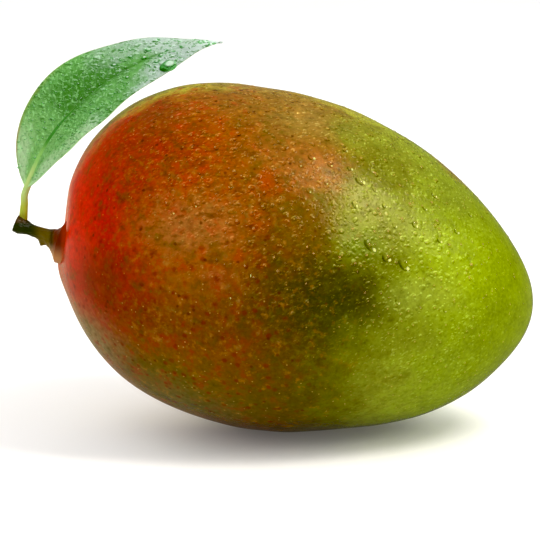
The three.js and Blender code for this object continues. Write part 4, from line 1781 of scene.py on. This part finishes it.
@dataclass(frozen=True)
class DropShape:
    """A drop of water: a low dome that sinks a little into what it sits on.

    Its measures are shares of its radius.
    """

    sides: int = 8
    rings: int = 3
    height: float = 0.5
    sink: float = 0.12  # how deep its rim lies
    uneven: float = 0.12  # how far its outline wavers
    droop: float = 0.12  # how far its top sags downhill
    bottom: float = 1.6  # how many times deeper its lowest point lies than its rim

    def shell(
        self,
        bases: Array,
        facing: Array,
        radii: Array,
        lengths: Array,
        turns: Array,
        bright_side: Place,
        rng: np.random.Generator,
    ) -> Shell:
        """Domes on a surface, all in one shell.

        Ring k of a dome lies at the angle k / rings of a right angle from its top: its radius is
        the sine, and its height the cosine, of that angle. The outline wavers by two and three
        waves round it, and the top sags downhill.

        Args:
            bases: where the drops sit.
            facing: which way the surface looks there.
            radii: their radii in millimetres.
            lengths: how long each one is downhill, as a share of its width.
            turns: degrees by which its length turns from downhill.
            bright_side: the direction of the side where the gathered light is painted.
            rng: the random draws for their outlines.

        Returns:
            The shell of all drops. Its map coordinates are how far ahead towards the bright side
            and how far aside each corner lies, as shares of the drop's radius.
        """
        count = len(bases)
        down = np.array([0.0, 0.0, -1.0]) + facing * facing[:, 2:3]
        helper = np.cross(facing, [0.31, 0.83, 0.47])
        downhill = unit(down + 1e-3 * helper)
        across = np.cross(facing, downhill)
        cosine, sine = np.cos(np.radians(turns))[:, None], np.sin(np.radians(turns))[:, None]
        first = downhill * cosine + across * sine
        second = np.cross(facing, first)
        angle = np.arange(self.sides) * 2 * math.pi / self.sides
        waves = rng.uniform(-1, 1, (2, count, 1)) * self.uneven
        phases = rng.uniform(0, 2 * math.pi, (2, count, 1))
        outline = 1 + waves[0] * np.cos(2 * angle + phases[0]) + waves[1] * np.cos(3 * angle + phases[1])
        polar = np.arange(1, self.rings + 1) * math.pi / 2 / self.rings
        width = np.sin(polar)[None, :, None] * outline[:, None, :]
        level = (np.cos(polar) * self.height - self.sink)[None, :, None] + 0 * width
        sag = (self.droop * np.cos(polar))[None, :, None] * np.linalg.norm(down, axis=1)[:, None, None]
        east = (width * np.cos(angle) + sag) * lengths[:, None, None]
        north = width * np.sin(angle)
        rings = first[:, None, None] * east[..., None] + second[:, None, None] * north[..., None]
        rings = rings + facing[:, None, None] * level[..., None]
        tops = facing * (self.height - self.sink) + first * sag[:, 0] * lengths[:, None]
        bottoms = -facing * self.sink * self.bottom
        local = np.concatenate([tops[:, None], rings.reshape(count, -1, 3), bottoms[:, None]], 1)
        points = bases[:, None] + local * radii[:, None, None]

        each = np.arange(self.sides)
        after = (each + 1) % self.sides
        inner = 1 + np.arange(self.rings - 1)[:, None] * self.sides
        outer = inner + self.sides
        corners = [inner + each, outer + each, outer + after, inner + after]
        quads = np.stack(corners, -1).reshape(-1, 4)
        rim = 1 + (self.rings - 1) * self.sides
        top_fan = np.stack([0 * each, 1 + each, 1 + after], -1)
        bottom_fan = np.stack([rim + after, rim + each, 0 * each + rim + self.sides], -1)
        fans = np.vstack([top_fan, bottom_fan])
        start = np.arange(count)[:, None, None] * local.shape[1]
        faces = [(start + part[None]).reshape(-1, part.shape[1]) for part in (quads, fans)]

        outwards = first[:, None] * np.cos(angle)[:, None] + second[:, None] * np.sin(angle)[:, None]
        bright = np.array(bright_side) * np.ones((count, 1))
        ahead = unit(bright - facing * (bright * facing).sum(1, keepdims=True))
        aside = np.cross(facing, ahead)
        maps = np.zeros((count, local.shape[1], 2))
        for axis, direction in enumerate((ahead, aside)):
            way = (outwards * direction[:, None]).sum(2)
            maps[:, 1:-1, axis] = (np.sin(polar)[None, :, None] * way[:, None]).reshape(count, -1)
        flat = maps.reshape(-1, 2)
        return Shell(points.reshape(-1, 3), faces, [flat[part] for part in faces])


@dataclass(frozen=True)
class Bead:
    """One single drop."""

    place: tuple[float, float]  # two numbers that say where it sits
    radius: float  # half its width in millimetres
    length: float = 1.0  # as a share of its width
    turn: float = 0.0  # degrees by which its length turns from downhill

    @staticmethod
    def table(beads: Sequence["Bead"]) -> tuple[Array, Array]:
        """The two numbers of the beads' places, and their radii, lengths and turns, as rows."""
        places = np.array([bead.place for bead in beads]).T
        return places, np.array([(bead.radius, bead.length, bead.turn) for bead in beads]).T


@dataclass(frozen=True)
class Dew:
    """Fine drops of water on the skin and on the leaf's upper face, and a few single ones."""

    fruit: FruitForm
    leaf: Leaf
    spray: Place = (0.32, -0.6, 0.73)  # where the spray came from
    skin_bright: Place = (-0.45, 0.3, 0.84)  # side of a fine drop where the gathered light is painted
    bead_bright: Place = (0.6, 0.0, -0.8)  # and of a single one
    leaf_bright: Place = (0.45, -0.1, 0.85)  # and of any on the leaf
    # each water finish paints shade on one edge of a drop and the light it gathers in one spot; on the
    # leaf a drop's green body also hides the painted sheen under it
    skin_water: WaterFinish = WaterFinish(
        name="water_on_skin",
        body=(0.97, 0.94, 0.85),
        dim=(0.52, 0.42, 0.22),
        gathered=(0.85, 0.48, 0.13),
        glow=0.3,
        spot=0.5,
        spot_size=0.6,
        shine=0.1,
    )
    bead_water: WaterFinish = WaterFinish(
        name="water_bead",
        body=(1.0, 0.98, 0.95),
        dim=(0.4, 0.42, 0.12),
        dim_turn=-100.0,
        gathered=(0.75, 0.78, 0.22),
        glow=0.75,
        spot=0.6,
        spot_size=0.4,
        shine=0.2,
    )
    leaf_water: WaterFinish = WaterFinish(
        name="water_on_leaf",
        body=(0.6, 0.9, 0.6),
        dim=(0.15, 0.5, 0.12),
        gathered=(0.66, 0.9, 0.66),
        glow=0.35,
        spot=0.4,
        spot_size=0.65,
        shine=0.1,
    )
    leaf_bead_water: WaterFinish = WaterFinish(
        name="water_bead_on_leaf",
        body=(0.4, 0.8, 0.4),
        dim=(0.06, 0.42, 0.05),
        gathered=(0.75, 0.95, 0.8),
        glow=0.6,
        spot=0.4,
        spot_size=0.65,
        shine=0.3,
    )
    seed: int = 7
    skin_places: int = 2600  # places that could hold a fine drop
    skin_radius: Span = (0.35, 0.9)  # the smallest and the largest
    skin_shape: DropShape = DropShape(height=0.42)
    densest: float = 0.85  # share of the places with a drop where the spray is thickest
    facing_spray: Span = (0.5, 0.95)  # how squarely the skin faces it, from dry to wet
    leaf_places: int = 1000
    leaf_radius: Span = (0.2, 0.6)
    leaf_shape: DropShape = DropShape(rings=2)
    leaf_length: float = 0.6  # downhill, as a share of the width
    bead_shape: DropShape = DropShape(sides=24, rings=8, height=0.38, uneven=0.08, droop=0.2)
    skin_beads: tuple[Bead, ...] = (  # by the X and Z of their places on the front
        Bead((20.1, 71.3), 1.6),
        Bead((18.5, 66.4), 0.9, 1.7),
        Bead((22.2, 56.5), 1.3, 1.7, 35.0),
        Bead((26.5, 53.3), 1.6, 0.8),
        Bead((30.8, 51.2), 1.4, 1.5, 35.0),
        Bead((39.1, 65.8), 1.0),
        Bead((33.8, 60.2), 1.1),
        Bead((44.8, 57.0), 1.0),
        Bead((40.2, 55.7), 0.9),
        Bead((29.3, 42.3), 0.8, 1.4),
        Bead((41.5, 38.5), 0.6),
        Bead((7.8, 77.0), 1.1),
        Bead((7.0, 69.7), 0.7),
        Bead((-21.3, 66.6), 0.7),
        Bead((-26.8, 64.7), 0.6),
        Bead((-7.6, 51.0), 0.4, 4.0),
        Bead((-12.6, 45.1), 0.35, 3.6),
        Bead((11.3, 71.3), 0.7),
        Bead((4.8, 75.4), 0.6),
        Bead((16.3, 77.9), 0.8),
        Bead((36.5, 63.4), 0.8),
        Bead((48.6, 59.7), 0.7),
        Bead((17.4, 74.1), 1.0),
        Bead((26.1, 65.3), 0.9),
        Bead((28.6, 60.6), 0.9),
        Bead((12.4, 75.1), 0.8),
        Bead((23.7, 68.9), 0.8),
    )
    leaf_beads: tuple[Bead, ...] = (  # by share of the midrib and place across
        Bead((0.739, 0.72), 2.5, 0.75, 20.0),
        Bead((0.678, -0.38), 1.15, 0.5),
        Bead((0.62, -0.35), 0.75, 0.6),
        Bead((0.66, -0.1), 0.9, 0.7),
        Bead((0.565, -0.31), 1.0, 0.5),
        Bead((0.6, -0.7), 0.9, 0.4),
        Bead((0.625, -0.6), 0.6, 0.5),
        Bead((0.715, -0.87), 0.5, 0.6),
        Bead((0.7, 0.3), 0.8, 0.7),
        Bead((0.72, 0.1), 0.8, 0.7),
        Bead((0.59, 0.3), 0.7, 0.7),
    )

    def _spread(self, count: int, rng: np.random.Generator) -> Array:
        """Even directions all round: a golden-angle spiral, each moved at random by half a step."""
        number = np.arange(count) + 0.5
        stem = 1 - 2 * number / count
        around = GOLDEN_ANGLE * number
        ring = np.sqrt(1 - stem**2)
        even = np.stack([stem, ring * np.sin(around), ring * np.cos(around)], -1)
        spacing = math.sqrt(4 * math.pi / count)
        return unit(even + rng.uniform(-0.45, 0.45, even.shape) * spacing)

    def _wetness(self, facing: Array) -> Array:
        """How much of the spray reaches the skin: a rise of its facing along the spray."""
        return smoothstep(facing @ unit(np.array(self.spray)), *self.facing_spray)

    def on_skin(self) -> bpy.types.Object:
        """Scatters fine drops over the skin, denser and larger where the spray met it."""
        count = self.skin_places
        rng = np.random.default_rng(self.seed + count)
        shares = self._spread(count, rng)
        points, facing = self.fruit.points(shares), self.fruit.normals(shares)
        wet = self._wetness(facing)
        kept = (rng.random(count) < self.densest * wet) & (points[:, 2] > 1.5)
        size = rng.random(count) ** 2.2 * between(0.45, 1.0, wet)
        radii = between(*self.skin_radius, size)[kept]
        points, facing, plain = points[kept], facing[kept], 0 * radii
        domes = self.skin_shape.shell(points, facing, radii, 1 + plain, plain, self.skin_bright, rng)
        return domes.build("dew_on_skin")

    def on_blade(self) -> bpy.types.Object:
        """Scatters drops over the leaf's upper face, evenly by area."""
        rng = np.random.default_rng(self.seed)
        t = rng.uniform(0.03, 0.97, self.leaf_places)
        v = rng.uniform(-0.93, 0.93, self.leaf_places)
        kept = rng.random(self.leaf_places) < self.leaf.half(t) / self.leaf.half_width
        t, v = t[kept], v[kept]
        radii = between(*self.leaf_radius, rng.random(len(t)) ** 3.0)
        domes = self._blade_drops(self.leaf_shape, t, v, radii, self.leaf_length + 0 * t, 0 * t, rng)
        return domes.build("dew_on_leaf")

    def _blade_drops(
        self,
        shape: DropShape,
        t: Array,
        v: Array,
        radii: Array,
        lengths: Array,
        turns: Array,
        rng: np.random.Generator,
    ) -> Shell:
        """Drops on the upper face at shares of the midrib and places across."""
        top = self.leaf.blade_point(t, v, self.leaf.thickness / 2 - self.leaf.relief(t, v))
        facing = self.leaf.blade_facing(t, v)
        return shape.shell(top, facing, radii, lengths, turns, self.leaf_bright, rng)

    def beads(self) -> list[bpy.types.Object]:
        """Builds the single drops, on the skin and on the leaf."""
        rng = np.random.default_rng(self.seed)
        (across, level), sizes = Bead.table(self.skin_beads)
        shares = self.fruit.on_front(across, level)
        points, facing = self.fruit.points(shares), self.fruit.normals(shares)
        domes = self.bead_shape.shell(points, facing, *sizes, self.bead_bright, rng)
        skin = domes.build("beads_on_skin")
        (t, v), sizes = Bead.table(self.leaf_beads)
        domes = self._blade_drops(self.bead_shape, t, v, *sizes, rng)
        return [skin, domes.build("beads_on_leaf")]

    def build(self) -> None:
        """Builds all drops and gives them the water's finish."""
        fine = self.on_skin()
        skin_beads, leaf_beads = self.beads()
        dress(fine, self.skin_water.material())
        dress(skin_beads, self.bead_water.material())
        dress(self.on_blade(), self.leaf_water.material())
        dress(leaf_beads, self.leaf_bead_water.material())


# ---- studio ----


class Reach(Enum):
    """What a light is seen by: matt and shiny surfaces, or one kind alone."""

    ALL = "all"
    GLOSS = "gloss"
    MATT = "matt"


@dataclass(frozen=True)
class Softbox:
    """A light that looks at the object, in millimetres, degrees and watts."""

    name: str
    round_from_front: float  # to the right
    above: float
    distance: float
    width: float
    height: float
    power: float
    tint: Colour = WHITE
    reach: Reach = Reach.ALL
    lean: float = 0.0  # to the right, as the object sees it

    def build(self, target: Vector) -> None:
        """Adds the light, turned towards the target."""
        turn, rise = math.radians(self.round_from_front), math.radians(self.above)
        flat = math.cos(rise)
        towards = Vector((math.sin(turn) * flat, -math.cos(turn) * flat, math.sin(rise)))
        light = bpy.data.lights.new(self.name, "AREA")
        light.shape = "RECTANGLE"
        light.size = self.width * MM
        light.size_y = self.height * MM
        light.energy = self.power
        light.color = self.tint
        lamp = bpy.data.objects.new(self.name, light)
        lamp.location = target + towards * self.distance * MM
        leaning = Quaternion((0.0, 0.0, 1.0), -math.radians(self.lean))
        lamp.rotation_euler = ((-towards).to_track_quat("-Z", "Y") @ leaning).to_euler()
        lamp.visible_diffuse = self.reach is not Reach.GLOSS
        lamp.visible_glossy = self.reach is not Reach.MATT
        lamp.visible_transmission = self.reach is not Reach.MATT
        bpy.context.scene.collection.objects.link(lamp)


@dataclass(frozen=True)
class Studio:
    """White floor, white surround that is darker in front, softboxes and the camera."""

    target: Place = (-2.7, 0.0, 41.75)  # what the camera and the lights look at
    camera_above: float = 12.0  # degrees
    camera_distance: float = 750.0
    frame_width: float = 142.4  # what the camera sees across at the target
    sensor: float = 36.0
    clip: Span = (0.01, 50.0)  # metres
    floor_half: float = 5000.0
    floor_gap: float = 0.02  # how far it lies under the resting spot
    backdrop: float = 1.25  # brightness behind, above and in front of the object
    ceiling: float = 0.45
    front: float = 0.12
    ambient: float = 0.3  # what matt surfaces see besides
    mirrored_tint: Colour = (1.0, 0.93, 0.62)  # how shiny ones see the surround
    black_point: Colour = (0.001, 0.006, 0.01)
    boxes: tuple[Softbox, ...] = (
        Softbox("key", 74.0, 57.0, 700.0, 200.0, 300.0, 3.4, (1.0, 0.94, 0.84)),
        Softbox("strip", 74.0, 32.0, 800.0, 160.0, 320.0, 1.3, (1.0, 0.94, 0.84)),
        Softbox("rim", -142.0, 18.0, 700.0, 260.0, 400.0, 1.4, (1.0, 0.95, 0.86), Reach.MATT),
        Softbox("glint", 55.0, 45.0, 800.0, 200.0, 540.0, 11.0, (1.0, 0.95, 0.8), Reach.GLOSS, 42.0),
        Softbox("side", 80.0, 30.0, 800.0, 300.0, 300.0, 3.0, (1.0, 0.94, 0.78), Reach.GLOSS),
        Softbox("fill", -85.0, 48.0, 4000.0, 5000.0, 5000.0, 60.0, WHITE, Reach.MATT),
    )

    def floor(self) -> None:
        """Adds the floor as a large square just under the resting spot."""
        h = self.floor_half * MM
        level = -self.floor_gap * MM
        mesh = bpy.data.meshes.new("floor")
        corners = [(-h, -h, level), (h, -h, level), (h, h, level), (-h, h, level)]
        mesh.from_pydata(corners, [], [(0, 1, 2, 3)])
        floor = bpy.data.objects.new("floor", mesh)
        bpy.context.scene.collection.objects.link(floor)
        floor.data.materials.append(FloorFinish().material())

    def world(self) -> None:
        """Sets the surround: a soft ceiling, a dark room in front, and a bright backdrop.

        Shiny surfaces see about half of the backdrop's light on its left side and a small share
        of it elsewhere, and matt ones see some more light from everywhere.
        """
        world = bpy.data.worlds.new("surround")
        world.use_nodes = True
        bpy.context.scene.world = world
        graph = Graph(world.node_tree)
        direction = graph.add("ShaderNodeTexCoord", output="Generated")
        x, y, z = graph.parts(direction)
        shiny = graph.add("ShaderNodeLightPath", output="Is Glossy Ray")
        room = self.front + (self.ceiling - self.front) * z.rise(0.3, 0.9)
        seen_by_gloss = y.rise(0.8, 0.98) * (x.fall(-0.5, -0.15) * 0.35 + 0.15)
        behind = y.rise(0.35, 0.85) * (1 - shiny) + seen_by_gloss * shiny
        strength = room + (self.backdrop - room) * behind + (1 - shiny) * self.ambient
        tint = graph.mix(WHITE, self.mirrored_tint, shiny)
        light = graph.add("ShaderNodeBackground", {}, {"Color": tint, "Strength": strength})
        graph.node("ShaderNodeOutputWorld", {}, {"Surface": light})

    def camera(self) -> None:
        """Adds the camera, on a long lens that frames frame_width at the target."""
        rise = math.radians(self.camera_above)
        target = Vector(self.target) * MM
        back = Vector((0.0, -math.cos(rise), math.sin(rise)))
        data = bpy.data.cameras.new("camera")
        data.sensor_width = self.sensor
        data.lens = self.sensor * self.camera_distance / self.frame_width
        data.clip_start, data.clip_end = self.clip
        camera = bpy.data.objects.new("camera", data)
        camera.location = target + back * self.camera_distance * MM
        camera.rotation_euler = (-back).to_track_quat("-Z", "Y").to_euler()
        bpy.context.scene.collection.objects.link(camera)
        bpy.context.scene.camera = camera

    def grade(self) -> None:
        """Sets plain colours, with the darkest tones pulled down to black."""
        view = bpy.context.scene.view_settings
        view.view_transform = "Standard"
        view.use_curve_mapping = True
        view.curve_mapping.black_level = self.black_point
        view.curve_mapping.update()

    def build(self) -> None:
        """Builds the whole studio."""
        self.camera()
        self.floor()
        self.world()
        for box in self.boxes:
            box.build(Vector(self.target) * MM)
        self.grade()


def main() -> None:
    """Builds the mango piece by piece, and the studio round it."""
    logging.basicConfig(level=logging.INFO, format="%(name)s: %(message)s")
    Studio().build()
    fruit = Fruit()
    leaf = Leaf()
    fruit.skin()
    Stem().bark()
    leaf.blade()
    leaf.stalk_and_rib()
    Dew(fruit.form, leaf).build()


if __name__ == "__main__":
    main()
